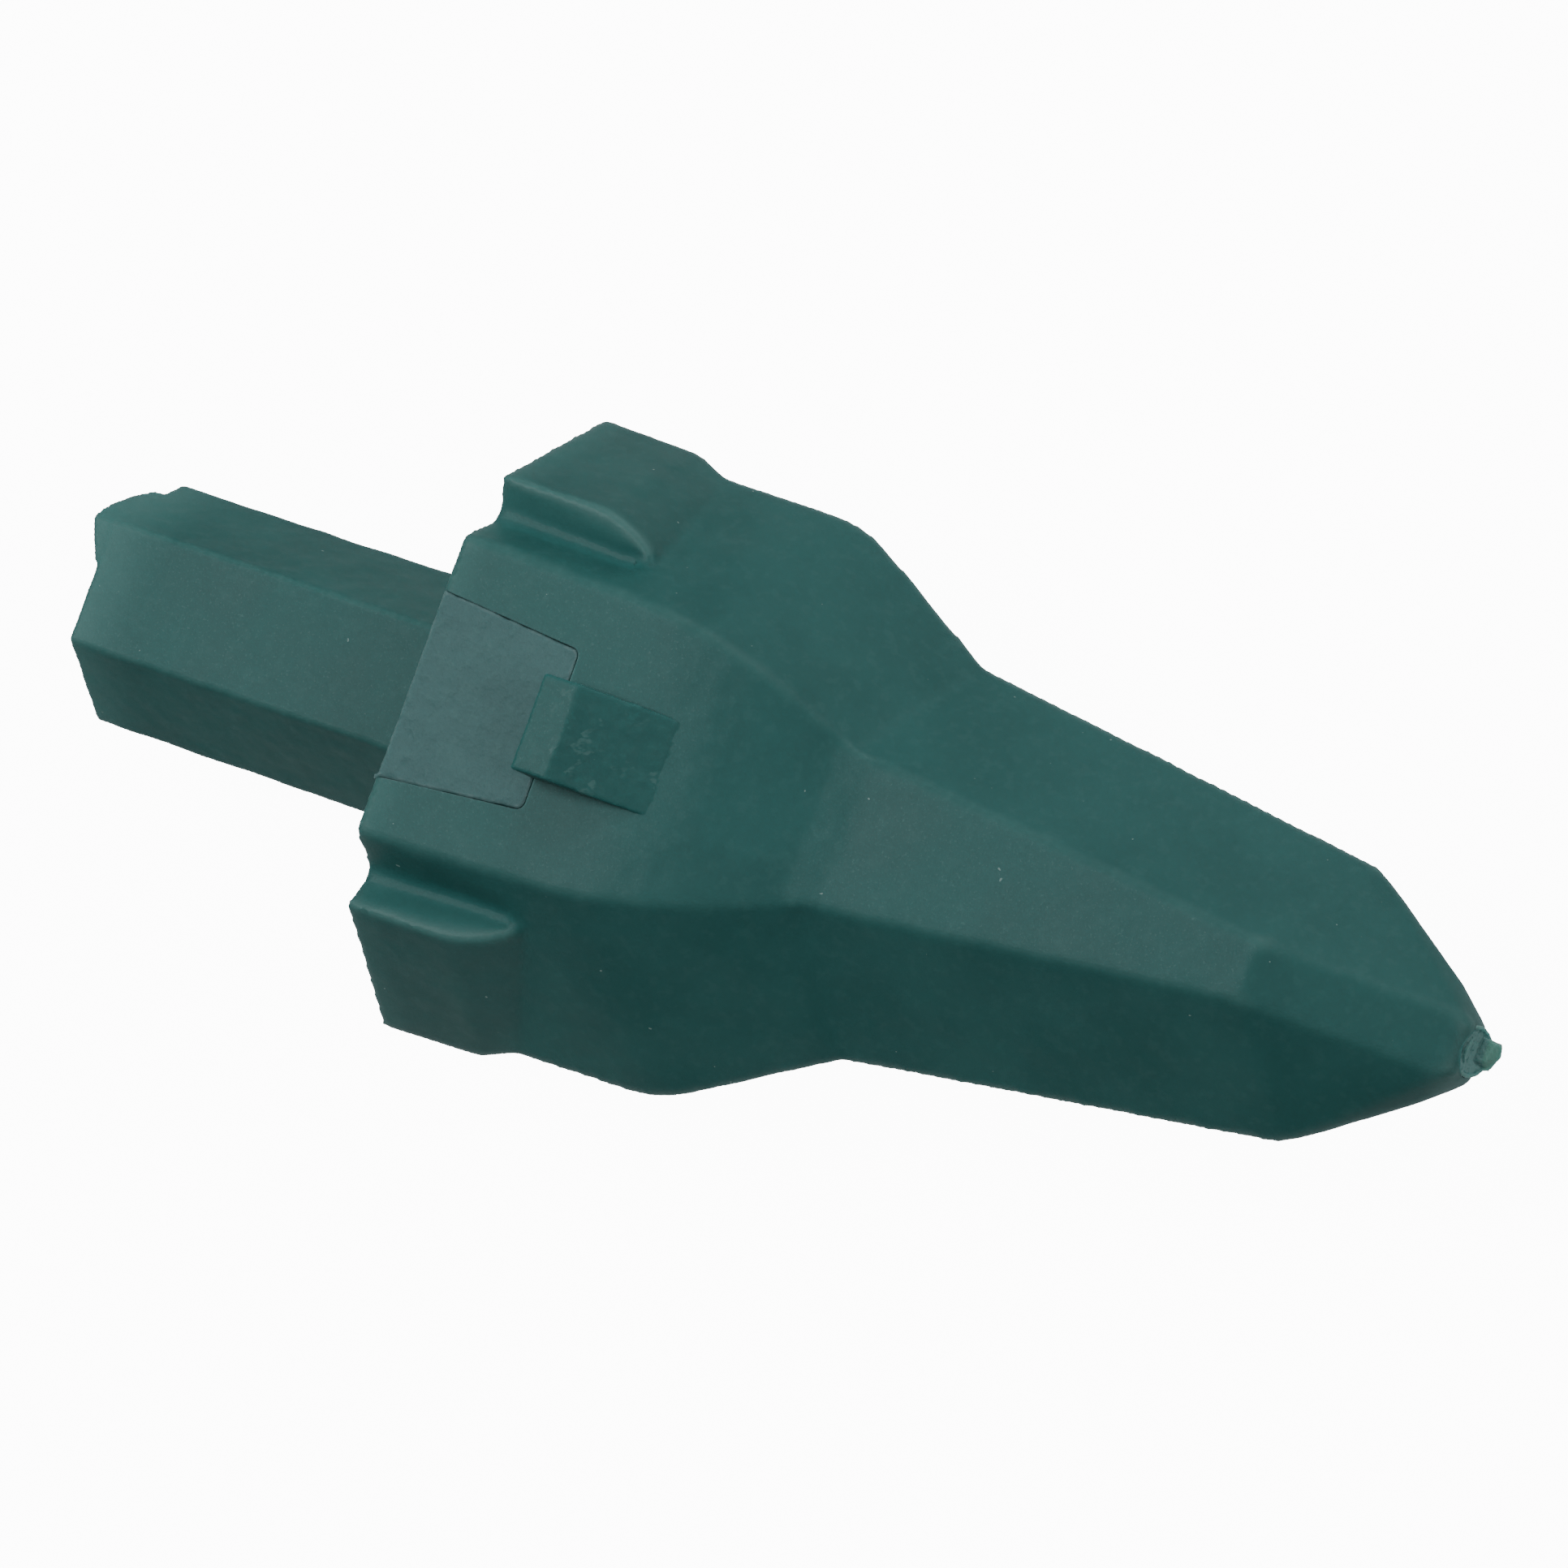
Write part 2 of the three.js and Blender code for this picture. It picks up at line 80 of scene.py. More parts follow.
def deselect():
    if bpy.context.object and bpy.context.object.mode != "OBJECT":
        bpy.ops.object.mode_set(mode="OBJECT")
    bpy.ops.object.select_all(action="DESELECT")


def activate(piece):
    deselect()
    piece.select_set(True)
    bpy.context.view_layer.objects.active = piece


def edit(piece, mode="VERT", everything=False):
    activate(piece)
    bpy.ops.object.mode_set(mode="EDIT")
    bpy.ops.mesh.select_mode(type=mode)
    bpy.ops.mesh.select_all(action="SELECT" if everything else "DESELECT")


def leave():
    bpy.ops.object.mode_set(mode="OBJECT")


def pick(piece, kind, test):  # adds to the selection what passes the test on its middle and itself
    mesh = bmesh.from_edit_mesh(piece.data)
    count = 0
    for part in getattr(mesh, kind):
        middle = part.co if kind == "verts" else sum((v.co for v in part.verts), Vector()) / len(part.verts)
        if test(middle, part):
            part.select_set(True)
            count += 1
    mesh.select_flush(kind == "verts")
    bmesh.update_edit_mesh(piece.data)
    return count


def named(name):
    piece = bpy.context.object
    piece.name = name
    piece.data.name = name
    return piece


def applyAll(piece):
    activate(piece)
    for modifier in list(piece.modifiers):
        bpy.ops.object.modifier_apply(modifier=modifier.name)


def settle(piece):  # puts the object's place into its mesh
    activate(piece)
    bpy.ops.object.transform_apply(location=True, rotation=True, scale=True)


def outward(piece):
    edit(piece, everything=True)
    bpy.ops.mesh.remove_doubles(threshold=1e-6)
    bpy.ops.mesh.normals_make_consistent(inside=False)
    leave()


def smooth(piece, angle=32):
    activate(piece)
    bpy.ops.object.shade_smooth_by_angle(angle=math.radians(angle))


def soften(piece, width, segments=3, angle=30):
    modifier = piece.modifiers.new("edges", "BEVEL")
    modifier.width = width
    modifier.segments = segments
    modifier.limit_method = "ANGLE"
    modifier.angle_limit = math.radians(angle)
    applyAll(piece)


def combine(piece, tool, operation="DIFFERENCE"):
    modifier = piece.modifiers.new("combine", "BOOLEAN")
    modifier.object = tool
    modifier.operation = operation
    modifier.solver = "EXACT"
    applyAll(piece)
    discard(tool)
    return piece


def block(name, low, high):
    bpy.ops.mesh.primitive_cube_add(size=1, location=(low + high) / 2, scale=high - low)
    piece = named(name)
    settle(piece)
    return piece


def laid(name, spots):  # a loop of vertices, each moved to its spot
    bpy.ops.mesh.primitive_circle_add(vertices=len(spots), radius=mm, fill_type="NOTHING", location=(0, 0, 0))
    piece = named(name)
    edit(piece)
    for index, spot in enumerate(spots):
        mesh = bmesh.from_edit_mesh(piece.data)
        mesh.verts.ensure_lookup_table()
        for vertex in mesh.verts:
            vertex.select_set(vertex.index == index)
        mesh.select_flush(False)
        bmesh.update_edit_mesh(piece.data)
        bpy.ops.transform.translate(value=Vector(spot) - mesh.verts[index].co)
    leave()
    return piece


def wrapped(name, spots):  # the tight skin around a set of places
    piece = laid(name, spots)
    edit(piece, everything=True)
    bpy.ops.mesh.convex_hull()
    bpy.ops.mesh.select_all(action="SELECT")
    bpy.ops.mesh.dissolve_limited(angle_limit=math.radians(0.3))
    leave()
    outward(piece)
    return piece


def mirrored(spots):  # each place with its mirror images, side to side and top to bottom
    return [Vector((p.x, p.y * sideY, p.z * sideZ)) for p in spots for sideY in (1, -1) for sideZ in (1, -1)]


def rod(name, radius, start, end, sides=48):  # a round bar between two places
    turn = (end - start).to_track_quat("Z", "Y").to_euler()
    bpy.ops.mesh.primitive_cylinder_add(vertices=sides, radius=radius, depth=(end - start).length, location=(start + end) / 2,
                                        rotation=turn)
    piece = named(name)
    settle(piece)
    return piece


def hexBar(name, flats, start, end, place=None, direction=forward):  # a hexagonal bar, along +X with one flat up unless told
    turn = (0, math.pi / 2, 0) if direction == forward else direction.to_track_quat("Z", "Y").to_euler()
    middle = Vector(((start + end) / 2, 0, 0)) if place is None else place + direction * (start + end) / 2
    bpy.ops.mesh.primitive_cylinder_add(vertices=6, radius=flats / math.sqrt(3), depth=end - start, location=middle, rotation=turn)
    piece = named(name)
    settle(piece)
    return piece


def turned(name, profile, base, direction=up, steps=64):  # spins an outline of (radius, distance) in millimetres about a line
    piece = laid(name, [(radius * mm, 0, distance * mm) for radius, distance in profile])
    edit(piece, everything=True)
    bpy.ops.mesh.spin(steps=steps, angle=2 * math.pi, center=(0, 0, 0), axis=(0, 0, 1))
    leave()
    outward(piece)
    return placed(piece, base, direction)


def copied(piece, name):  # a copy with a mesh of its own
    twin = piece.copy()
    twin.data = piece.data.copy()
    twin.name = twin.data.name = name
    bpy.context.scene.collection.objects.link(twin)
    return twin


def reflected(piece, name, sideY, sideZ=1):  # a copy on the other side, with its faces turned back outwards
    twin = copied(piece, name)
    twin.scale = (1, sideY, sideZ)
    settle(twin)
    outward(twin)
    return twin


def discard(piece):
    bpy.data.objects.remove(piece, do_unlink=True)


def placed(piece, base, direction):  # stands a piece that was modelled along +Z on its base, along a direction
    piece.rotation_euler = direction.to_track_quat("Z", "Y").to_euler()
    piece.location = base
    settle(piece)
    return piece


def together(pieces):  # fuses solids into the first of them
    first = pieces[0]
    for other in pieces[1:]:
        combine(first, other, "UNION")
    return first


def joined(pieces):  # makes one object of several, each keeping its own surface
    activate(pieces[0])
    for piece in pieces:
        piece.select_set(True)
    bpy.ops.object.join()
    return pieces[0]


def molten(piece, voxel, roundness):  # one even skin with soft edges, as a moulded part has
    askew = Euler((0.5, 0.35, 0.6)).to_matrix().to_4x4()  # no long edge runs along the cells, so none comes out stepped
    piece.matrix_world = askew
    settle(piece)
    modifier = piece.modifiers.new("skin", "REMESH")
    modifier.mode = "VOXEL"
    modifier.voxel_size = voxel
    modifier.use_smooth_shade = True
    modifier = piece.modifiers.new("soften", "SMOOTH")
    modifier.factor = 0.5
    modifier.iterations = roundness
    applyAll(piece)
    piece.matrix_world = askew.inverted()
    settle(piece)


def uneven(piece, size, depth):  # the slight waviness of a moulded surface and its edges
    texture = bpy.data.textures.new("waves", "CLOUDS")
    texture.noise_scale = size
    texture.noise_depth = 2
    modifier = piece.modifiers.new("waves", "DISPLACE")
    modifier.texture = texture
    modifier.texture_coords = "LOCAL"
    modifier.strength = depth
    modifier.mid_level = 0.8  # only inwards, so that nothing grows into its neighbour
    applyAll(piece)


def finished(piece, body, slotName, material, *nodes):
    piece.data.materials.clear()
    piece.data.materials.append(material)
    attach(piece, body)
    if nodes:
        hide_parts(*nodes)


print("helpers ready")

# shader wiring

class Wire:  # a socket that can be reckoned with like a number
    def __init__(self, tree, socket):
        self.tree = tree
        self.socket = socket

    def reckon(self, operation, *values):
        return self.tree.make("ShaderNodeMath", {"operation": operation}, dict(enumerate(values)))

    def __add__(self, other):
        return self.reckon("ADD", self, other)

    def __radd__(self, other):
        return self.reckon("ADD", other, self)

    def __sub__(self, other):
        return self.reckon("SUBTRACT", self, other)

    def __rsub__(self, other):
        return self.reckon("SUBTRACT", other, self)

    def __mul__(self, other):
        return self.reckon("MULTIPLY", self, other)

    def __rmul__(self, other):
        return self.reckon("MULTIPLY", other, self)

    def size(self):
        return self.reckon("ABSOLUTE", self)

    def between(self, low, high):  # 0 below low, 1 above high, smooth in between
        settings = {"interpolation_type": "SMOOTHSTEP"}
        return self.tree.make("ShaderNodeMapRange", settings, {"Value": self, "From Min": low, "From Max": high})


class Paint:  # a material and its nodes
    def __init__(self, name):
        self.material = bpy.data.materials.new(name)
        self.material.use_nodes = True
        self.nodes = self.material.node_tree.nodes
        self.links = self.material.node_tree.links
        self.shader = self.nodes["Principled BSDF"]
        self.place = self.make("ShaderNodeTexCoord", {}, {}, "Object")
        self.normal = self.make("ShaderNodeTexCoord", {}, {}, "Normal")

    def make(self, kind, settings, inputs, output=0):
        node = self.nodes.new(kind)
        for key, value in settings.items():
            setattr(node, key, value)
        for key, value in inputs.items():
            self.feed(node.inputs[key], value)
        return Wire(self, node.outputs[output])

    def feed(self, socket, value):
        if isinstance(value, Wire):
            self.links.new(value.socket, socket)
        else:
            socket.default_value = value

    def noise(self, perMetre, detail=3, roughness=0.55, place=None):
        inputs = {"Vector": place or self.place, "Scale": perMetre, "Detail": detail, "Roughness": roughness}
        return self.make("ShaderNodeTexNoise", {}, inputs)

    def stretched(self, scale, shift=(0, 0, 0)):
        inputs = {"Vector": self.place, "Scale": scale, "Location": shift}
        return self.make("ShaderNodeMapping", {}, inputs)

    def blend(self, factor, first, second):  # sockets 6 and 7 take the two colours, and output 2 gives the mix
        return self.make("ShaderNodeMix", {"data_type": "RGBA"}, {0: factor, 6: first, 7: second}, 2)

    def edge(self, low, high):  # the stored convexity, from 0 at low to 1 at high
        return self.make("ShaderNodeAttribute", {"attribute_name": "edge"}, {}, "Fac").between(low, high)

    def axis(self, source, letter):
        return self.make("ShaderNodeSeparateXYZ", {}, {"Vector": source}, letter)

    def bump(self, height, distance, strength=1):
        return self.make("ShaderNodeBump", {}, {"Height": height, "Distance": distance, "Strength": strength})

    def finish(self, **inputs):
        for key, value in inputs.items():
            self.feed(self.shader.inputs[key.replace("_", " ")], value)
        return self.material


def moulded(name, look):  # the tooth's waxy green skin, with painted sheen on up-facing flats and painted light on crests, hollows, groove walls and the rear end
    paint = Paint(name)
    facing = paint.axis(paint.normal, "Z")
    flat = facing.between(look["flatFrom"], 0.995)  # only what faces straight up carries the grain and a painted sheen
    patches = paint.noise(look["patches"], 3)
    grain = paint.noise(look["grain"], 2, 0.6)
    coarse = paint.noise(look["grain"] * 0.45, 2, 0.6)
    lumps = paint.noise(look["lumps"], 2, 0.6)
    dust = paint.noise(900, 0).between(0.885, 0.91)
    specks = grain.between(0.58, 0.74) * flat
    pits = (1 - coarse.between(0.25, 0.42)) * flat
    litCrest = paint.edge(0.06, 0.38)
    litHollow = 1 - paint.edge(-0.25, -0.03)
    along, across = paint.axis(paint.place, "X"), paint.axis(paint.place, "Y")
    rear = 1 - along.between(look["rearAt"], look["rearAt"] + look["rearReach"])  # painted light: lighter towards the rear end, as if light came through thin places
    # painted light: the groove walls beside the ears lighter, as if light came through the thin ears
    grooveWallLight = across.size().between(0.034, 0.038) * facing.between(0.6, 0.8) * (1 - along.between(rearX + 0.026, rearX + 0.036))
    colour = paint.blend(patches.between(0.35, 0.65), look["dark"], look["light"])
    # painted sheen: up-facing flats lighter, as if the light above were reflected in them
    colour = paint.blend(flat * look["paintedSheenAmount"], colour, look["paintedSheen"])
    colour = paint.blend(lumps.between(0.5, 0.7) * look["lumpAmount"], colour, look["speck"])
    colour = paint.blend(specks * look["speckAmount"], colour, look["speck"])
    colour = paint.blend(pits * look["pitAmount"], colour, look["dark"])
    # painted light: creases and grooves lighter, lifting the shade that falls in them
    colour = paint.blend(litHollow * look["litHollowAmount"], colour, look["litHollow"])
    # painted light on the groove walls
    colour = paint.blend(grooveWallLight * look["grooveWallLightAmount"], colour, look["throughLight"])
    # painted light: the rear end lighter, as if light came through it
    colour = paint.blend(rear * look["rearLightAmount"], colour, look["throughLight"])
    # painted light: convex crests lighter, as if light came through the thin edges and glanced off them
    colour = paint.blend(litCrest * look["litCrestAmount"], colour, look["litCrest"])
    colour = paint.blend(dust * look["dustAmount"], colour, look["dust"])
    if "torn" in look:  # the broken stub is paler than the skin behind it, and takes the colour of the painted crest light
        colour = paint.blend(along.between(*look["torn"]), colour, look["litCrest"])
    roughness = look["roughness"] + (patches - 0.5) * 0.12 + flat * 0.04 - litCrest * 0.05
    height = grain * (0.25 + flat * 0.75) + patches * 0.6 + lumps * look["lumpHeight"]
    return paint.finish(Base_Color=colour, Roughness=roughness, Normal=paint.bump(height, look["relief"], 0.6),
                        Subsurface_Weight=look["glow"], Subsurface_Radius=(0.6, 1.0, 0.95), Subsurface_Scale=look["glowDepth"],
                        Sheen_Weight=look["sheen"], Sheen_Roughness=0.35, Sheen_Tint=(0.75, 0.95, 0.9, 1), IOR=1.47)


# painted light in this look: a sheen on up-facing flats, and lighter crests, hollows, groove walls and rear end as if
# light came through the waxy skin
toothLook = {
    "dark": (0.0185, 0.124, 0.118, 1),
    "light": (0.024, 0.142, 0.135, 1),
    "paintedSheen": (0.05, 0.17, 0.165, 1),
    "paintedSheenAmount": 0.25,
    "speck": (0.13, 0.29, 0.28, 1),
    "speckAmount": 0.3,
    "lumps": 420,
    "lumpAmount": 0.06,
    "lumpHeight": 0.6,
    "dust": (0.4, 0.55, 0.52, 1),
    "dustAmount": 0.5,
    "sheen": 0.03,
    "pitAmount": 0.3,
    "litCrest": (0.085, 0.215, 0.203, 1),
    "litCrestAmount": 0.6,
    "litHollow": (0.03, 0.165, 0.158, 1),
    "litHollowAmount": 0.6,
    "throughLight": (0.06, 0.215, 0.205, 1),
    "grooveWallLightAmount": 0.55,
    "rearAt": rearX,
    "rearReach": 0.008,
    "rearLightAmount": 0.5,
    "flatFrom": 0.95,
    "patches": 45,
    "grain": 2100,
    "relief": 0.0001,
    "roughness": 0.58,
    "glow": 0.5,
    "glowDepth": 0.004,
}
# the lock plate's own greyer green, with the same painted sheen and painted crest light but no painted light through
# thin parts
plateLook = dict(toothLook, rearLightAmount=0, grooveWallLightAmount=0, dark=(0.05, 0.152, 0.156, 1), light=(0.066, 0.183, 0.186, 1),
                 paintedSheen=(0.08, 0.195, 0.198, 1), litCrest=(0.14, 0.24, 0.24, 1), speckAmount=0.12, lumpAmount=0.12, pitAmount=0.25,
                 relief=0.0002, lumpHeight=2, sheen=0, flatFrom=0.9)


def metal(name, look):  # turned, ground or drawn metal
    paint = Paint(name)
    rings = paint.noise(look["marks"], 4, 0.6, paint.stretched(look["along"]))
    stain = paint.noise(120, 4, 0.6)
    edge = paint.edge(0.05, 0.5)
    colour = paint.blend(rings.between(0.3, 0.7), look["dark"], look["light"])
    colour = paint.blend(stain.between(0.52, 0.7) * 0.5, colour, look["stain"])
    colour = paint.blend(edge * 0.6, colour, look["bright"])
    roughness = look["roughness"] + stain * 0.12 - edge * 0.08
    return paint.finish(Base_Color=colour, Metallic=1.0, Roughness=roughness, Normal=paint.bump(rings, 0.00003, 0.5))


steelLook = {"dark": (0.36, 0.37, 0.38, 1), "light": (0.52, 0.53, 0.54, 1), "stain": (0.25, 0.24, 0.22, 1), "bright": (0.75, 0.75, 0.75, 1),
             "roughness": 0.28, "marks": 260, "along": (1, 1, 9)}
springLook = dict(steelLook, dark=(0.2, 0.21, 0.22, 1), light=(0.32, 0.33, 0.34, 1), stain=(0.12, 0.11, 0.1, 1), roughness=0.32)
bronzeLook = dict(steelLook, dark=(0.42, 0.27, 0.11, 1), light=(0.6, 0.42, 0.2, 1), stain=(0.22, 0.13, 0.06, 1),
                  bright=(0.8, 0.62, 0.35, 1))


def rubber(name, look):
    paint = Paint(name)
    dust = paint.noise(350, 4, 0.6)
    grain = paint.noise(2600, 2)
    edge = paint.edge(0.05, 0.5)
    colour = paint.blend(dust.between(0.45, 0.75) * 0.6, look["base"], look["dust"])
    colour = paint.blend(edge * 0.5, colour, look["worn"])
    return paint.finish(Base_Color=colour, Roughness=0.62 + dust * 0.2, Normal=paint.bump(grain, 0.00004, 0.6))


rubberLook = {"base": (0.012, 0.013, 0.014, 1), "dust": (0.045, 0.046, 0.045, 1), "worn": (0.06, 0.06, 0.062, 1)}
# the tip is a lighter copy of the green: its broken stub is really paler, and the ring around it is lightened as
# painted sheen
tipLook = dict(toothLook, dark=(0.15, 0.34, 0.33, 1), light=(0.19, 0.4, 0.38, 1), litCrest=(0.14, 0.36, 0.3, 1),
               relief=0.0002, torn=(rearX + 0.2032, rearX + 0.204))
# painted light: the shank's rear end and lump lighter, as if light came through them
shankLook = dict(toothLook, rearAt=-0.004, rearReach=0.018, rearLightAmount=0.85, grooveWallLightAmount=0, throughLight=(0.085, 0.255, 0.243, 1))
toothGreen = moulded("toothGreen", toothLook)
shankGreen = moulded("shankGreen", shankLook)
tipGreen = moulded("tipGreen", tipLook)
plateGreen = moulded("plateGreen", plateLook)
pinSteel = metal("pinSteel", steelLook)
springSteel = metal("springSteel", springLook)
bushBronze = metal("bushBronze", bronzeLook)
blackRubber = rubber("blackRubber", rubberLook)
print("finishes ready")

# tooth body
tooth = {
    "halfHeight": 37,
    "rearTop": 28.4,
    "rearSide": 56.4,
    "bend": (52, 26.7),
    "belly": (57.5, 55.4),
    "bellyRound": 6,
    "valley": (82.2, 14.5, 25),
    "noseStart": (89.8, 37.5),
    "wing": (174, 25.9),
    "frontBend": (166, 5.5),
    "tipEdge": (200.3, 5.5, 6.1),
    "tipSide": (195.5, 11.6),
    "tipFace": (202, 4.4, 4.4, 4.8),
    "bendRound": 17,
    "valleyRound": 4,
    "ridgeSpare": 0.4,
    "rearSpare": 0.5,
    "edge": 0.8,
    "voxel": 0.96,
    "roundness": 6,
    "waves": (0.009, 0.35),
}
ear = {
    "ridge": (26, 41.2, 31),
    "root": (11, 7.9),
    "outer": (20.5, 59.2, 58.6),
    "front": (33.3, 35.6, 28.8),
    "buried": 4,
    "curl": 8,
    "groove": (31, 34, 26),
    "grooveRound": 3,
}
ramp = {
    "rear": 28.4,
    "topFront": 35.9,
    "height": 7.7,
    "halfWidth": 9.2,
    "lip": 0.3,
    "foot": 49.5,
    "run": 9,
    "edge": 1,
    "voxel": 0.45,
    "waves": (0.0025, 0.35),
}
plate = {
    "length": 29.9,
    "thickness": 5,
    "rearHalf": 17.9,
    "frontHalf": 15.2,
    "undercut": 1.2,
    "corner": 1.6,
    "seam": 0.14,
    "travel": 22,
    "edge": 0.3,
    "voxel": 0.32,
    "waves": (0.003, 0.45),
    "grooveHalf": 2.4,
    "stopAt": 3.2,
    "burr": [(-0.9, -17.4, 36.4), (0.6, -17.2, 37.4), (0.4, -18.4, 36.6), (-0.6, -18.7, 36.9), (0.2, -17.8, 35.6)],
}
slotFloor = tooth["halfHeight"] - plate["thickness"] - 0.3
pinX = 18
plungerX = 13


def rounded(before, corner, after, reach, steps=6):  # places along a soft corner
    start = corner + (before - corner).normalized() * reach * mm
    end = corner + (after - corner).normalized() * reach * mm
    shares = [i / steps for i in range(steps + 1)]
    return [start * (1 - t) ** 2 + corner * 2 * t * (1 - t) + end * t ** 2 for t in shares]


def bodyChunk():
    t = tooth
    rearTop, rearSide = at(-t["rearSpare"], t["rearTop"], t["halfHeight"]), at(-t["rearSpare"], t["rearSide"] + t["ridgeSpare"], 0)
    bend, belly = at(*t["bend"], t["halfHeight"]), at(t["belly"][0], t["belly"][1] + t["ridgeSpare"], 0)
    valley, nose = at(*t["valley"]), at(*t["noseStart"], 0)
    spots = [rearTop, rearSide, valley, nose] + rounded(rearTop, bend, valley, t["bendRound"])
    spots += rounded(rearSide, belly, nose, t["bellyRound"])
    piece = wrapped("bodyChunk", mirrored(spots))
    soften(piece, t["edge"] * mm, 3, 20)
    return piece


def noseChunk():
    t = tooth
    hidden = 14
    sideTaper = (t["noseStart"][1] - t["wing"][1]) / (t["wing"][0] - t["noseStart"][0])
    sideAt = lambda x: t["noseStart"][1] - sideTaper * (x - t["noseStart"][0])
    slope = t["valley"][2] / (sideAt(t["valley"][0]) - t["valley"][1])
    bendHeight = slope * (sideAt(t["frontBend"][0]) - t["frontBend"][1])
    run = t["frontBend"][0] - t["valley"][0]
    topTaper = (t["valley"][1] - t["frontBend"][1]) / run
    topFall = (t["valley"][2] - bendHeight) / run
    x, half, height, side = t["tipFace"]
    spots = [at(t["valley"][0] - hidden, t["valley"][1] + topTaper * hidden, t["valley"][2] + topFall * hidden),
             at(t["noseStart"][0] - hidden, sideAt(t["noseStart"][0] - hidden) + t["ridgeSpare"], 0), at(*t["frontBend"], bendHeight),
             at(t["wing"][0], t["wing"][1] + t["ridgeSpare"], 0), at(*t["tipEdge"]), at(*t["tipSide"], 0), at(x, half, height), at(x, side, 0)]
    piece = wrapped("noseChunk", mirrored(spots))
    soften(piece, t["edge"] * mm, 3, 12)
    return piece


def valleyFill():  # softens the crease between the shoulder and the nose's top
    t = tooth
    x, half, height = t["valley"]
    reach = t["valleyRound"]
    before = at(*t["bend"], t["halfHeight"]) - at(x, half, height)
    after = at(*t["frontBend"], height * 0.9) - at(x, half, height)
    ends = [at(x, half, height) + step.normalized() * reach * mm for step in (before, after)]
    ends += [Vector((p.x, p.y, p.z - 8 * mm)) for p in ends]
    fill = wrapped("valleyFill", [Vector((p.x, p.y * side, p.z)) for p in ends for side in (1, -1)])
    return [fill, reflected(fill, "valleyFill", 1, -1)]


def earChunk():  # the left ear
    rx, ry, rz = ear["ridge"]
    fx, fy, fz = ear["front"]
    curl = rounded(at(0, ry, rz), at(rx, ry, rz), at(fx, fy, fz), ear["curl"])
    ox, rearY, frontY = ear["outer"]
    b = ear["buried"]
    rear, spare = -tooth["rearSpare"], tooth["ridgeSpare"]
    spots = [(rear, ry - ear["root"][0], rz - ear["root"][1]), (rear, ry, rz), (fx, fy, fz), (fx, fy - b, fz - b),
             (fx - b, tooth["belly"][1], 0), (rear, rearY + spare, 0), (ox, frontY + spare, 0)]
    spots += [((p.x - rearX) / mm, p.y / mm, p.z / mm) for p in curl]
    piece = wrapped("earChunk", [at(x, y, z * face) for x, y, z in spots for face in (1, -1)])
    soften(piece, tooth["edge"] * mm, 3, 20)
    return piece


def grooveCutter():  # the upper left groove
    length, bottomY, bottomZ = ear["groove"]
    high = tooth["halfHeight"]
    inner, outer = at(0, tooth["rearTop"] + 0.1, high), at(0, ear["ridge"][1] - 0.1, ear["ridge"][2])
    section = [inner, outer, at(0, ear["ridge"][1], high + 2)] + rounded(inner, at(0, bottomY, bottomZ), outer, ear["grooveRound"])
    return wrapped("groove", [at(x, p.y / mm, p.z / mm) for p in section for x in (-1, length)])


def makeRamp():
    high = tooth["halfHeight"]
    top = high + ramp["height"]
    fall = ramp["height"] / (ramp["foot"] - ramp["topFront"])
    front = ramp["foot"] + ramp["run"]
    outline = [(ramp["rear"], high - 3), (ramp["rear"], top), (ramp["topFront"], top), (front, high - fall * ramp["run"]), (front, high - 6)]
    piece = wrapped("ramp", [at(x, side * ramp["halfWidth"], z) for x, z in outline for side in (1, -1)])
    soften(piece, ramp["edge"] * mm, 4, 20)
    molten(piece, ramp["voxel"] * mm, 3)
    edgeMarks(piece)
    uneven(piece, ramp["waves"][0], ramp["waves"][1] * mm)
    return piece


def plateOutline(rear, front, rearHalf, frontHalf, radius, z, steps=6):
    slope = math.atan2(rearHalf - frontHalf, front - rear)
    spots = []
    for side in (1, -1):
        spots.append(at(rear, side * rearHalf, z))
        for i in range(steps + 1):
            angle = (math.pi / 2 - slope) * i / steps
            spots.append(at(front - radius + radius * math.cos(angle), side * (frontHalf - radius + radius * math.sin(angle)), z))
    return spots


def dovetail(name, rear, front, spread, low, high):
    spots = []
    for z in (low, high):
        wider = spread + plate["undercut"] * (tooth["halfHeight"] - z) / plate["thickness"]
        spots += plateOutline(rear, front, plate["rearHalf"] + wider, plate["frontHalf"] + wider, plate["corner"] + spread, z)
    return wrapped(name, spots)


def plungerDirection(side):
    return Vector((0, side * math.cos(math.pi / 6), -math.sin(math.pi / 6)))


openings = {
    "sixSided": {"socket": (41.6, -1, 62.7), "mouth": (50.6, -1, 5.1)},  # across flats, from, to
    "lengthwise": {"cushionPocket": (19.3, 61, 70.5, 96), "tipBore": (3.1, 185.7, 207, 48), "tipSeat": (4.5, 201, 208, 48)},
    "upright": {"bushBore": (pinX, 10.3, 18, 27, 96), "counterbore": (pinX, 11.5, 26.35, slotFloor + 1, 96),
                "stopBore": (3.2, 2.3, 25.7, slotFloor + 1, 32)},  # station, radius, from, to, sides
    "padPocket": ((5.7, 12.8, slotFloor - 2.8), (21.3, 16.3, slotFloor + 1)),
    "earBore": ((5.3, 18), (7.3, 25), (8.3, 43)),  # radius, and where along the ear it starts
    "earBoreEnd": 60,
    "past": 2,  # how far the plate's slot runs out behind
}


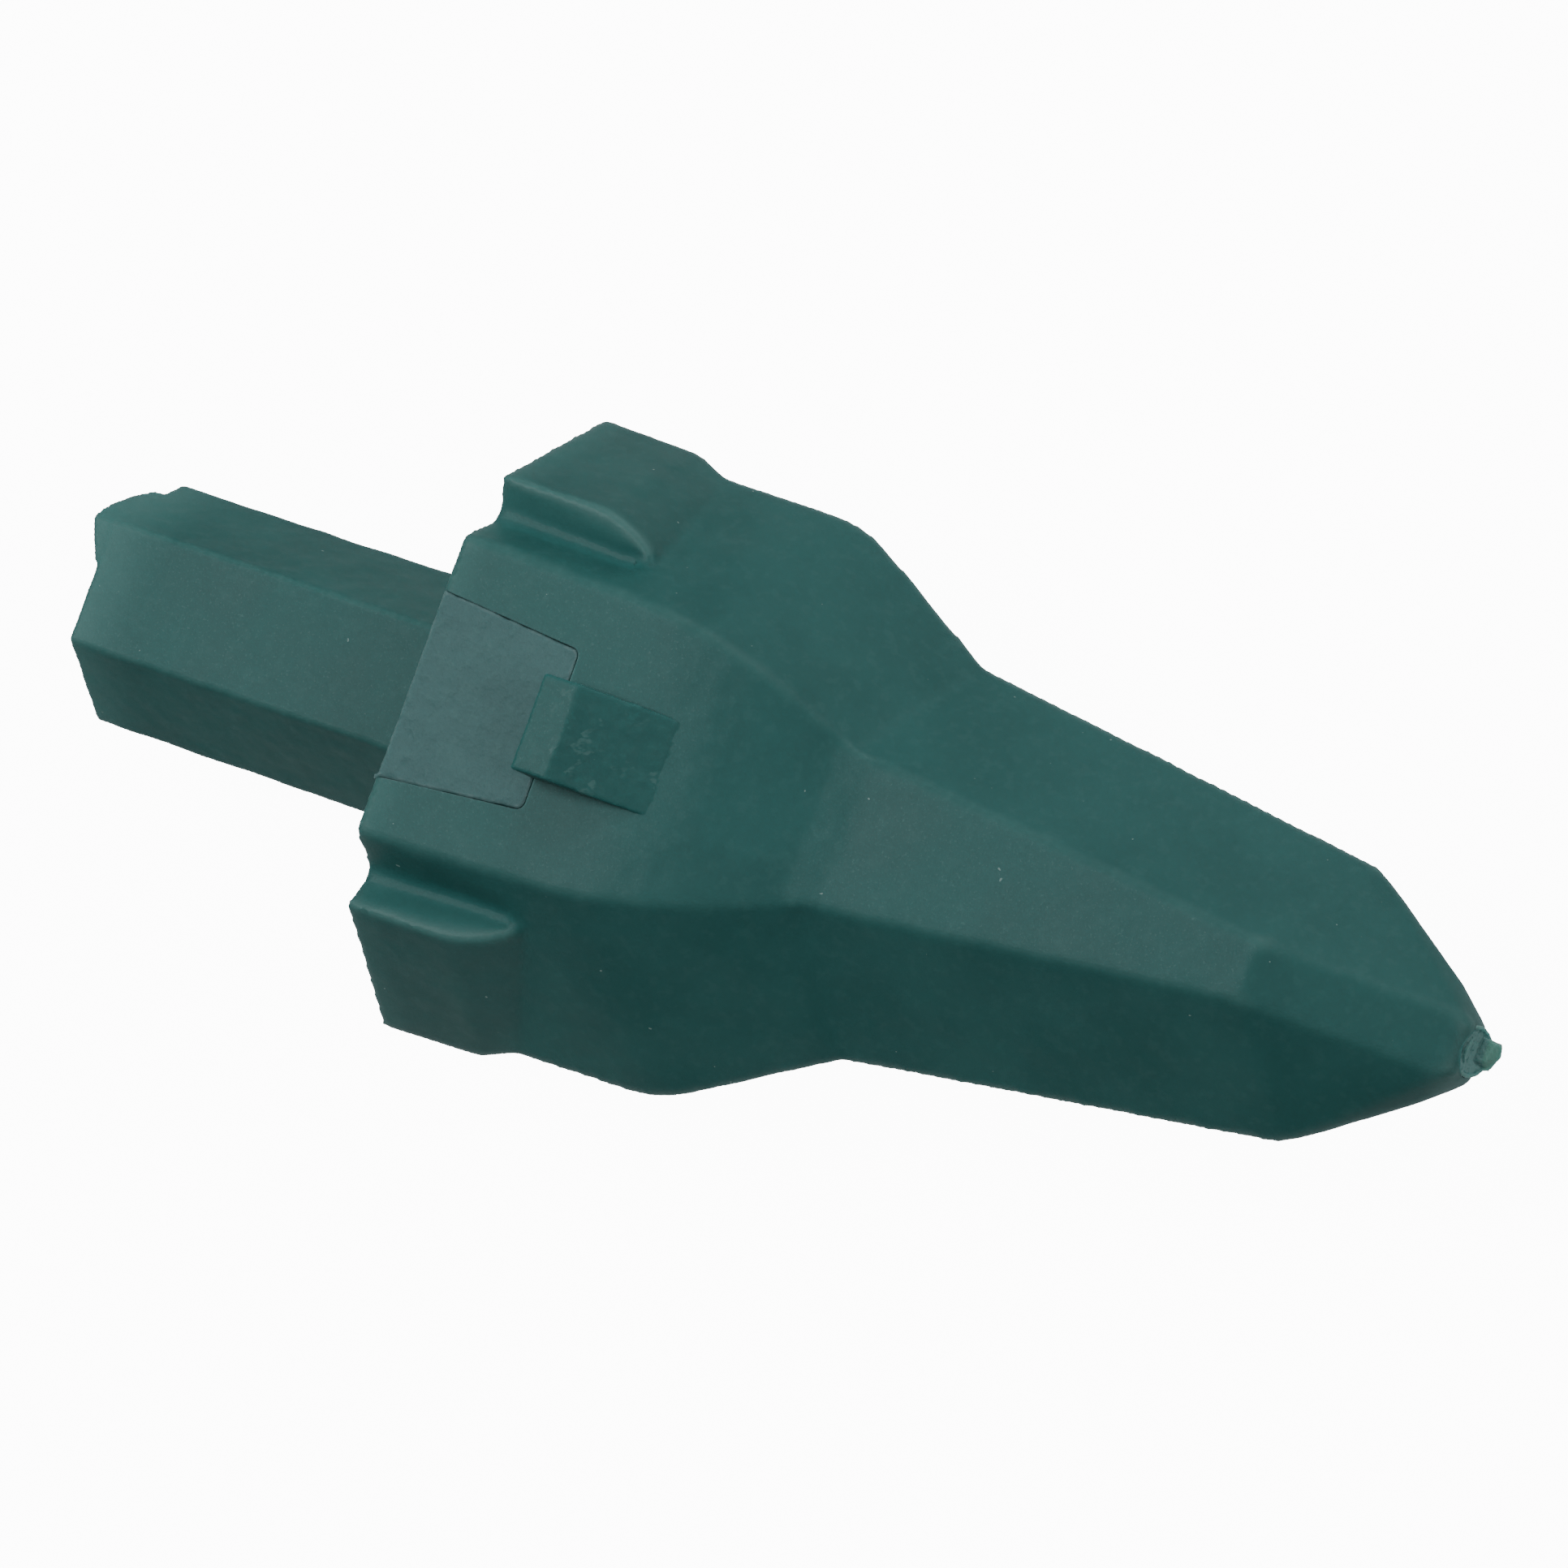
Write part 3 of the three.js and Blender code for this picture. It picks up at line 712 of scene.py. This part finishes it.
def toothCutters():
    o = openings
    tools = [dovetail("slot", -o["past"], plate["length"] + plate["seam"], plate["seam"], slotFloor, tooth["halfHeight"] + ramp["lip"])]
    for name, (flats, start, end) in o["sixSided"].items():
        tools.append(hexBar(name, flats * mm, rearX + start * mm, rearX + end * mm))
    for name, (radius, start, end, sides) in o["lengthwise"].items():
        tools.append(rod(name, radius * mm, at(start, 0, 0), at(end, 0, 0), sides))
    for name, (x, radius, start, end, sides) in o["upright"].items():
        tools.append(rod(name, radius * mm, at(x, 0, start), at(x, 0, end), sides))
    line, middle = plungerDirection(1), at(plungerX, 0, 0)
    pocketLow, pocketHigh = o["padPocket"]
    leftTools = [block("padPocket", at(*pocketLow), at(*pocketHigh))]
    for radius, start in o["earBore"]:
        leftTools.append(rod("earBore", radius * mm, middle + line * start * mm, middle + line * o["earBoreEnd"] * mm, 64))
    return tools + leftTools + [reflected(tool, tool.name + "Right", -1) for tool in leftTools]


def edgeMarks(piece, rounds=3):  # stores how convex the skin is at each vertex, for worn edges on metal and rubber and for painted light on the green's crests and hollows
    mesh = piece.data
    count = len(mesh.vertices)
    place = np.empty(count * 3)
    mesh.vertices.foreach_get("co", place)
    place = place.reshape(-1, 3)
    normal = np.empty(count * 3)
    mesh.vertices.foreach_get("normal", normal)
    normal = normal.reshape(-1, 3)
    pairs = np.empty(len(mesh.edges) * 2, int)
    mesh.edges.foreach_get("vertices", pairs)
    a, b = pairs.reshape(-1, 2).T
    step = place[b] - place[a]
    length = np.linalg.norm(step, axis=1) + 1e-9
    turnA = -np.einsum("ij,ij->i", normal[a], step) / length
    turnB = np.einsum("ij,ij->i", normal[b], step) / length
    degree = np.bincount(a, minlength=count) + np.bincount(b, minlength=count)
    marks = (np.bincount(a, turnA, count) + np.bincount(b, turnB, count)) / np.maximum(degree, 1)
    for _ in range(rounds):
        marks = 0.5 * marks + 0.5 * (np.bincount(a, marks[b], count) + np.bincount(b, marks[a], count)) / np.maximum(degree, 1)
    layer = mesh.attributes.get("edge") or mesh.attributes.new("edge", "FLOAT", "POINT")
    layer.data.foreach_set("value", np.clip(marks * 4, -1, 1).astype(np.float32))


def makeTooth():
    body, groove, leftEar = bodyChunk(), grooveCutter(), earChunk()
    for side in (1, -1):
        for face in (1, -1):
            combine(body, reflected(groove, "grooveCopy", side, face))
    discard(groove)
    piece = joined([body, noseChunk(), leftEar, reflected(leftEar, "rightEar", -1)] + valleyFill())
    piece.name = piece.data.name = "toothSkin"
    molten(piece, tooth["voxel"] * mm, tooth["roundness"])
    uneven(piece, tooth["waves"][0], tooth["waves"][1] * mm)
    edgeMarks(piece, 5)
    combine(piece, makeRamp(), "UNION")
    print("tooth skin", len(piece.data.polygons), "faces")
    combine(piece, together(toothCutters()))
    smooth(piece, 38)
    return piece


toothSkin = makeTooth()
finished(toothSkin, "tooth", "tooth_green", toothGreen, "tooth_body")
print("tooth done", len(toothSkin.data.polygons))

# shank
shank = {
    "flats": 41,
    "inserted": 62,
    "edge": 0.7,
    "voxel": 0.6,
    "roundness": 2,
    "waves": (0.007, 0.4),
    "slotHalf": 7.3,
    "slotFloor": 8.2,
    "footRoom": (13.4, 16.1),
    "lump": [(-3.2, 9, 20.2), (-4.2, 11.4, 20.4), (-4.2, 15, 16), (-3.6, 18, 10), (-2.2, 20.4, 5.6), (-2.6, 6, 17.5), (-3, 12, 9),
             (7, 9, 20.2), (8, 11.7, 20.3), (9, 21, 4.5), (5, 8, 10), (-0.5, 3, 20.2), (4, 4, 20.2)],
}


def makeShank():
    length = shankHigh.x - shankLow.x
    bar = hexBar("shankSkin", shank["flats"] * mm, shankLow.x, shankHigh.x)
    outward(bar)
    soften(bar, shank["edge"] * mm, 3)
    lump = wrapped("lump", [Vector((x, y, z)) * mm for x, y, z in shank["lump"]])
    combine(bar, lump, "UNION")
    molten(bar, shank["voxel"] * mm, shank["roundness"])
    uneven(bar, shank["waves"][0], shank["waves"][1] * mm)
    edgeMarks(bar)
    half, low, high = shank["slotHalf"], shank["slotFloor"], 30
    roomRadius, roomTop = shank["footRoom"]
    slot = block("slot", at(pinX, -half, low), at(shank["inserted"] + 2, half, high))
    combine(slot, rod("slotEnd", half * mm, at(pinX, 0, low), at(pinX, 0, high), 64), "UNION")
    combine(slot, rod("footRoom", roomRadius * mm, at(pinX, 0, low), at(pinX, 0, roomTop), 96), "UNION")
    combine(bar, slot)
    smooth(bar, 40)
    return bar


shankSkin = makeShank()
finished(shankSkin, "tooth", "tooth_green", shankGreen, "hex_shank")
print("shank done", len(shankSkin.data.polygons))


# lock plate and what it hides
def makePlate():
    high = tooth["halfHeight"]
    piece = dovetail("lockPlateSkin", 0, plate["length"], 0, high - plate["thickness"], high)
    soften(piece, plate["edge"] * mm, 3, 35)
    combine(piece, wrapped("burr", [at(*spot) for spot in plate["burr"]]), "UNION")
    molten(piece, plate["voxel"] * mm, 1)
    uneven(piece, plate["waves"][0], plate["waves"][1] * mm)
    half = plate["grooveHalf"]  # the stop pin's groove on the underside
    rear, front = plate["stopAt"] - half, plate["stopAt"] + plate["travel"] + half
    combine(piece, block("groove", at(rear, -half, slotFloor - 1), at(front, half, 34)))
    edgeMarks(piece)
    smooth(piece, 40)
    return piece


finished(makePlate(), "plate", "plate_green", plateGreen, "lock_plate")

padShape = {"rear": 6, "front": 21, "inner": 13.1, "outer": 16, "depth": 2.5, "ribs": 7, "edge": 0.4, "furrow": 0.35, "furrowRise": 0.05}


def makePad():  # the left one
    p = padShape
    piece = block("platePad", at(p["rear"], p["inner"], slotFloor - p["depth"]), at(p["front"], p["outer"], slotFloor))
    soften(piece, p["edge"] * mm, 3)
    pitch = (p["front"] - p["rear"]) / p["ribs"]
    high = slotFloor + p["furrowRise"]
    x = p["rear"] + pitch
    furrow = rod("furrow", p["furrow"] * mm, at(x, p["inner"] - 1, high), at(x, p["outer"] + 1, high), 16)
    for i in range(p["ribs"] - 1):
        twin = copied(furrow, "furrowCopy")
        twin.location = (i * pitch * mm, 0, 0)
        settle(twin)
        combine(piece, twin)
    discard(furrow)
    edgeMarks(piece, 0)
    smooth(piece, 35)
    return piece


leftPad = makePad()
rightPad = reflected(leftPad, "platePadRight", -1)
smooth(rightPad, 35)
leftPad.name = leftPad.data.name = "platePadLeft"
for hand, piece in (("left", leftPad), ("right", rightPad)):
    finished(piece, "tooth", "black_rubber", blackRubber, "plate_pad_" + hand)

stopShape = {
    "outline": [(0, 26), (1.6, 26), (2, 26.5), (2, 33), (1.7, 33.45), (1, 33.6), (0, 33.6)],
    "slit": ((3.2, -0.3, 25), (6, 0.3, 35)),
}
stopPin = turned("stopPinSkin", stopShape["outline"], at(plate["stopAt"], 0, 0))
slitLow, slitHigh = stopShape["slit"]
combine(stopPin, block("slit", at(*slitLow), at(*slitHigh)))
edgeMarks(stopPin, 0)
smooth(stopPin)
finished(stopPin, "tooth", "pin_steel", pinSteel, "plate_stop_pin")
print("plate done")


# quarter-turn pin
pin = {
    "outline": [(0, 8.6), (6.4, 8.6), (7, 9.2), (7, 22.2), (4.6, 22.4), (4.6, 24.8), (7, 25), (7, 28.1), (6, 28.1), (6, 29.7),
                (7, 29.7), (7, 30.5), (6.3, 31.3), (0, 31.3)],
    "bottom": 8.6,
    "footRadius": 13,
    "footWidth": 12,
    "footTop": 15.7,
    "footEdge": 0.8,
    "recess": (8, 26.9, 33),  # across flats, from, to
    "seal": (5.95, 1.05, 23.6),  # ring radius, cord radius, height
}


def makePin():
    p = pin
    core = turned("lockPinSkin", p["outline"], at(pinX, 0, 0), steps=96)
    foot = block("foot", at(pinX - p["footWidth"] / 2, -14, p["bottom"]), at(pinX + p["footWidth"] / 2, 14, p["footTop"]))
    edge = rod("footEdge", p["footRadius"] * mm, at(pinX, 0, 8), at(pinX, 0, 16), 96)
    combine(foot, edge, "INTERSECT")
    soften(foot, p["footEdge"] * mm, 3, 40)
    combine(core, foot, "UNION")
    flats, start, end = p["recess"]
    combine(core, hexBar("recess", flats * mm, start * mm, end * mm, at(pinX, 0, 0), up))
    edgeMarks(core, 0)
    smooth(core, 35)
    return core


finished(makePin(), "pin", "pin_steel", pinSteel, "lock_pin")


def cordRing(name, ringRadius, tube, height, base):  # a seal pressed a little flat in its groove
    outline = []
    for i in range(16):
        angle = 2 * math.pi * i / 16
        outline.append((ringRadius + tube * math.cos(angle), height + 0.92 * tube * math.sin(angle)))
    piece = turned(name, outline + outline[:1], base, steps=72)
    edgeMarks(piece, 0)
    smooth(piece, 60)
    return piece


pinAxis = at(pinX, 0, 0)
finished(cordRing("pinSeal", *pin["seal"], pinAxis), "pin", "black_rubber", blackRubber, "pin_seal_ring")


def collar(name, outline, material, slotName, body, node, base=pinAxis, direction=up, steps=96):
    piece = turned(name, outline + outline[:1], base, direction, steps)
    edgeMarks(piece, 0)
    smooth(piece)
    finished(piece, body, slotName, material, node)
    return piece


bush = {"outline": [(7.3, 21.35), (7.7, 20.95), (9.5, 20.95), (10, 21.45), (10, 25.7), (9.5, 26.2), (7.7, 26.2), (7.3, 25.8), (7.3, 24.4),
                    (7.7, 24), (7.7, 23.2), (7.3, 22.8)]}
collar("bushSkin", bush["outline"], bushBronze, "bronze", "tooth", "pin_bush")

washer = {"outline": [(7.3, 26.9), (7.55, 26.65), (10.3, 26.65), (10.6, 26.95), (10.6, 27.5), (10.3, 27.8), (7.55, 27.8), (7.3, 27.55)]}
collar("washerSkin", washer["outline"], pinSteel, "pin_steel", "tooth", "thrust_washer")

drivePlug = {
    "outline": [(0, 27.2), (3.1, 27.2), (3.6, 27.8), (3.6, 28.6), (3.3, 28.9), (3.6, 29.2), (3.6, 30), (3.1, 30.9), (2.2, 31.2),
                (1.9, 30.8), (0, 30.8)],
    "pryCut": (2, 0.35, 30.4, 32),  # half length, half width, from, to
}
plug = turned("drivePlugSkin", drivePlug["outline"], pinAxis, steps=64)
cutHalf, cutWide, cutLow, cutHigh = drivePlug["pryCut"]
combine(plug, block("pryCut", at(pinX - cutHalf, -cutWide, cutLow), at(pinX + cutHalf, cutWide, cutHigh)))
edgeMarks(plug, 0)
smooth(plug, 35)
finished(plug, "pin", "black_rubber", blackRubber, "drive_plug")

snapRing = {"inner": 6.3, "outer": 9.2, "low": 28.4, "high": 29.4, "open": 0.35, "lug": 1.5, "hole": 0.6, "lugTurn": 0.14}


def makeSnapRing():
    r = snapRing
    outline = [(r["inner"], r["low"]), (r["outer"], r["low"]), (r["outer"], r["high"]), (r["inner"], r["high"])]
    piece = laid("snapRingSkin", [(radius * mm, 0, z * mm) for radius, z in outline])
    edit(piece, everything=True)
    bpy.ops.mesh.edge_face_add()
    start = r["open"]
    bpy.ops.mesh.spin(steps=72, angle=2 * math.pi - 2 * start, center=(0, 0, 0), axis=(0, 0, 1))
    leave()
    outward(piece)
    piece.rotation_euler = (0, 0, start)
    piece.location = pinAxis
    settle(piece)
    outward(piece)
    for sign in (1, -1):
        angle = sign * (start + r["lugTurn"])
        spot = pinAxis + Vector((math.cos(angle), math.sin(angle), 0)) * (r["outer"] + 0.1) * mm
        combine(piece, rod("lug", r["lug"] * mm, spot + up * r["low"] * mm, spot + up * r["high"] * mm, 32), "UNION")
        combine(piece, rod("lugHole", r["hole"] * mm, spot + up * 28 * mm, spot + up * 30 * mm, 24))
    soften(piece, 0.12 * mm, 2, 50)
    edgeMarks(piece, 0)
    smooth(piece, 35)
    return piece


finished(makeSnapRing(), "pin", "spring_steel", springSteel, "retaining_ring")
print("pin done")


# nose cushion and mouth seal
cushion = {"outline": [(4, 62.9), (4.5, 62.4), (17.4, 62.4), (18.5, 62.8), (19, 63.9), (19, 65.4), (18.5, 66.3), (19, 67.2), (19, 68.7),
                       (18.5, 69.8), (17.4, 70.2), (14.5, 70.2), (14, 69.7), (12.5, 69.7), (12, 70.2), (9.5, 70.2), (9, 69.7),
                       (7.5, 69.7), (7, 70.2), (4.5, 70.2), (4, 69.7)]}
cushionFoot = at(0, 0, 0)
collar("noseCushionSkin", cushion["outline"], blackRubber, "black_rubber", "tooth", "nose_cushion", cushionFoot, forward)

mouthSeal = {"outer": (50, 1.2, 4.8), "lip": (45.5, 0, 1.9), "bore": (41.6, 0, 6), "edge": 0.5, "lipEdge": 0.4}  # across flats, from, to


def sealBar(name, size):
    flats, start, end = size
    return hexBar(name, flats * mm, rearX + start * mm, rearX + end * mm)


def makeMouthSeal():
    outer = sealBar("mouthSealSkin", mouthSeal["outer"])
    outward(outer)
    soften(outer, mouthSeal["edge"] * mm, 3, 40)
    lip = sealBar("lip", mouthSeal["lip"])
    outward(lip)
    soften(lip, mouthSeal["lipEdge"] * mm, 2, 40)
    combine(outer, sealBar("bore", mouthSeal["bore"]))
    combine(outer, lip)
    edgeMarks(outer, 0)
    smooth(outer, 35)
    return outer


finished(makeMouthSeal(), "tooth", "black_rubber", blackRubber, "mouth_seal")
print("cushion and mouth seal done")


# ears: plunger, seal, spring and plug on each side
plunger = {
    "outline": [(0, 20.8), (3.6, 20.8), (4.6, 21.1), (5, 21.7), (5, 22), (3.3, 22.1), (3.3, 24.1), (5, 24.2), (5, 25.3), (6.6, 25.3),
                (7, 25.7), (7, 30.6), (6.6, 31), (2.6, 31), (2.6, 35.5), (2.1, 36), (0, 36)],
    "seal": (4.3, 0.7, 23.1),  # ring radius, cord radius, height
}
coil = {"radius": 5, "wire": 0.8, "turns": 4, "start": 31.3, "end": 42.7, "keep": 0.78, "sides": 14, "steps": 36}
earPlug = {
    "outline": [(0, 43.3), (7.3, 43.3), (8, 44), (8, 49.9), (7.1, 50.8), (0, 50.8)],
    "recess": (8, 47.3, 52),  # across flats, from, to
    "edge": 0.25,
}
origin = Vector((0, 0, 0))


def makePlunger():
    piece = turned("plungerModel", plunger["outline"], origin)
    edgeMarks(piece, 0)
    smooth(piece)
    return piece


def makeSpring():
    c = coil
    rise = c["end"] - c["start"] - 2 * c["wire"]
    bpy.ops.mesh.primitive_circle_add(vertices=c["sides"], radius=c["wire"] * mm, fill_type="NOTHING", rotation=(math.pi / 2, 0, 0),
                                      location=(c["radius"] * mm, 0, (c["start"] + c["wire"]) * mm))
    piece = named("springModel")
    settle(piece)
    winding = piece.modifiers.new("winding", "SCREW")
    winding.angle = 2 * math.pi
    winding.screw_offset = rise / c["turns"] * mm
    winding.iterations = c["turns"]
    winding.steps = winding.render_steps = c["steps"]
    winding.use_merge_vertices = True
    applyAll(piece)
    edit(piece, "EDGE")
    bpy.ops.mesh.select_non_manifold()
    bpy.ops.mesh.edge_face_add()
    leave()
    outward(piece)
    edgeMarks(piece, 0)
    smooth(piece, 50)
    return piece


def makePlug():
    piece = turned("plugModel", earPlug["outline"], origin, steps=80)
    flats, start, end = earPlug["recess"]
    combine(piece, hexBar("recess", flats * mm, start * mm, end * mm, origin, up))
    soften(piece, earPlug["edge"] * mm, 2, 50)
    edgeMarks(piece, 0)
    smooth(piece)
    return piece


models = {"earPlunger": makePlunger(), "plungerSeal": cordRing("sealModel", *plunger["seal"], origin), "earSpring": makeSpring(),
          "earPlug": makePlug()}
for hand, side in (("left", 1), ("right", -1)):
    line, middle = plungerDirection(side), at(plungerX, 0, 0)
    body, joint = "plunger_" + hand, "plunger_" + hand + "_slide"
    pieces = {name: placed(copied(model, name + hand.title()), middle, line) for name, model in models.items()}
    finished(pieces["earPlunger"], body, "pin_steel", pinSteel, "ear_plunger_" + hand)
    finished(pieces["plungerSeal"], body, "black_rubber", blackRubber, "plunger_seal_" + hand)
    spring = pieces["earSpring"]
    finished(spring, "tooth", "spring_steel", springSteel, "ear_spring_" + hand)
    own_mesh(spring)
    finished(pieces["earPlug"], "tooth", "tooth_green", toothGreen, "ear_plug_" + hand)
for model in models.values():
    discard(model)
print("ears done")


# tip insert
tip = {
    "stem": [(0, 186), (2.4, 186), (2.8, 186.4), (2.8, 201.8), (0, 201.8)],
    "head": [(0, -1), (4, -1), (4.7, -0.2), (4.8, 0.4), (4.6, 0.75), (4.2, 0.8), (3.9, 0.5), (0, 0.4)],
    "headAt": (201.6, 0.3, 0.5),
    "lean": 22,
    "stub": [(201.5, -2.8, -4.2), (201.5, 3.2, -4), (201.8, 3.6, -0.4), (201.8, -1.2, -0.2), (204.4, -2, -3.8), (205.2, 3.4, -3.2),
             (205, 3, -0.8), (204.2, -0.6, -0.6), (206.2, 1, -2.6), (206, 2.8, -2)],
    "voxel": 0.16,
    "waves": (0.0012, 0.25),
}


def makeTip():
    stem = turned("tipSkin", tip["stem"], at(0, 0, 0), forward)
    lean = math.radians(tip["lean"])
    head = turned("head", tip["head"], at(*tip["headAt"]), Vector((math.cos(lean), 0, math.sin(lean))))
    combine(stem, head, "UNION")
    combine(stem, wrapped("stub", [at(*spot) for spot in tip["stub"]]), "UNION")
    molten(stem, tip["voxel"] * mm, 3)
    uneven(stem, tip["waves"][0], tip["waves"][1] * mm)
    edgeMarks(stem)
    smooth(stem, 60)
    return stem


finished(makeTip(), "tooth", "tooth_green", tipGreen, "tip_insert")
print("tip done")


# floor, light and camera
stage = {"pale": (0.93, 0.93, 0.93, 1), "bounce": (0.2, 0.2, 0.2, 1), "glow": 12, "spill": 0.6, "spillReach": (0.1, 0.3),
         "world": 0.13, "softBox": 6.3, "side": 3.3, "front": 3.7}

bpy.ops.mesh.primitive_plane_add(size=8, location=(0.15, 0, floorZ))
ground = named("ground")
settle(ground)
floorPaint = Paint("floorWhite")
seen = floorPaint.make("ShaderNodeLightPath", {}, {}, "Is Camera Ray")
reach = floorPaint.make("ShaderNodeVectorMath", {"operation": "LENGTH"}, {0: floorPaint.stretched((1, 1, 0), shift=(-0.14, 0, 0))}, "Value")
spill = (1 - reach.between(*stage["spillReach"])) * (stage["spill"] / stage["glow"])  # a glowing patch of floor around the tooth, unseen by the camera, standing for white paper lit there
strength = seen + (1 - seen) * spill
colour = floorPaint.blend(seen, stage["bounce"], stage["pale"])
glow = floorPaint.blend(strength, (0, 0, 0, 1), (1, 1, 1, 1))
ground.data.materials.append(floorPaint.finish(Base_Color=colour, Roughness=0.95, Specular_IOR_Level=0.0, Emission_Color=glow,
                                               Emission_Strength=stage["glow"]))

world = bpy.data.worlds.new("studio")
world.use_nodes = True
world.node_tree.nodes["Background"].inputs["Color"].default_value = (1, 1, 1, 1)
world.node_tree.nodes["Background"].inputs["Strength"].default_value = stage["world"]
bpy.context.scene.world = world
aim = Vector((0.14, 0, 0))


def softLight(name, direction, distance, size, power):
    bpy.ops.object.light_add(type="AREA", location=aim + Vector(direction).normalized() * distance)
    lamp = bpy.context.object
    lamp.name = name
    lamp.rotation_euler = (-Vector(direction)).to_track_quat("-Z", "Y").to_euler()
    lamp.data.shape = "RECTANGLE"
    lamp.data.size, lamp.data.size_y = size
    lamp.data.energy = power
    return lamp


softLight("softBox", (-0.42, 0.05, 0.9), 1.2, (0.5, 0.5), stage["softBox"])
softLight("sideLight", (0.15, 0.9, 0.45), 1.2, (0.8, 0.5), stage["side"])
softLight("frontLight", (0.9, 0.1, 0.5), 1.4, (0.6, 0.6), stage["front"])

camera = bpy.data.cameras.new("camera")
camera.lens = 223.73
camera.sensor_width = 36
cameraPiece = bpy.data.objects.new("camera", camera)
bpy.context.scene.collection.objects.link(cameraPiece)
right, top, ahead = Vector((0.85800, 0.34071, -0.38439)), Vector((-0.28905, 0.93887, 0.18701)), Vector((-0.42461, 0.04935, -0.90403))
turn = Matrix((right, top, -ahead)).transposed().to_4x4()
cameraPiece.matrix_world = Matrix.Translation((0.88523, -0.08064, 1.59122)) @ turn
bpy.context.scene.camera = cameraPiece

print("scene ready")
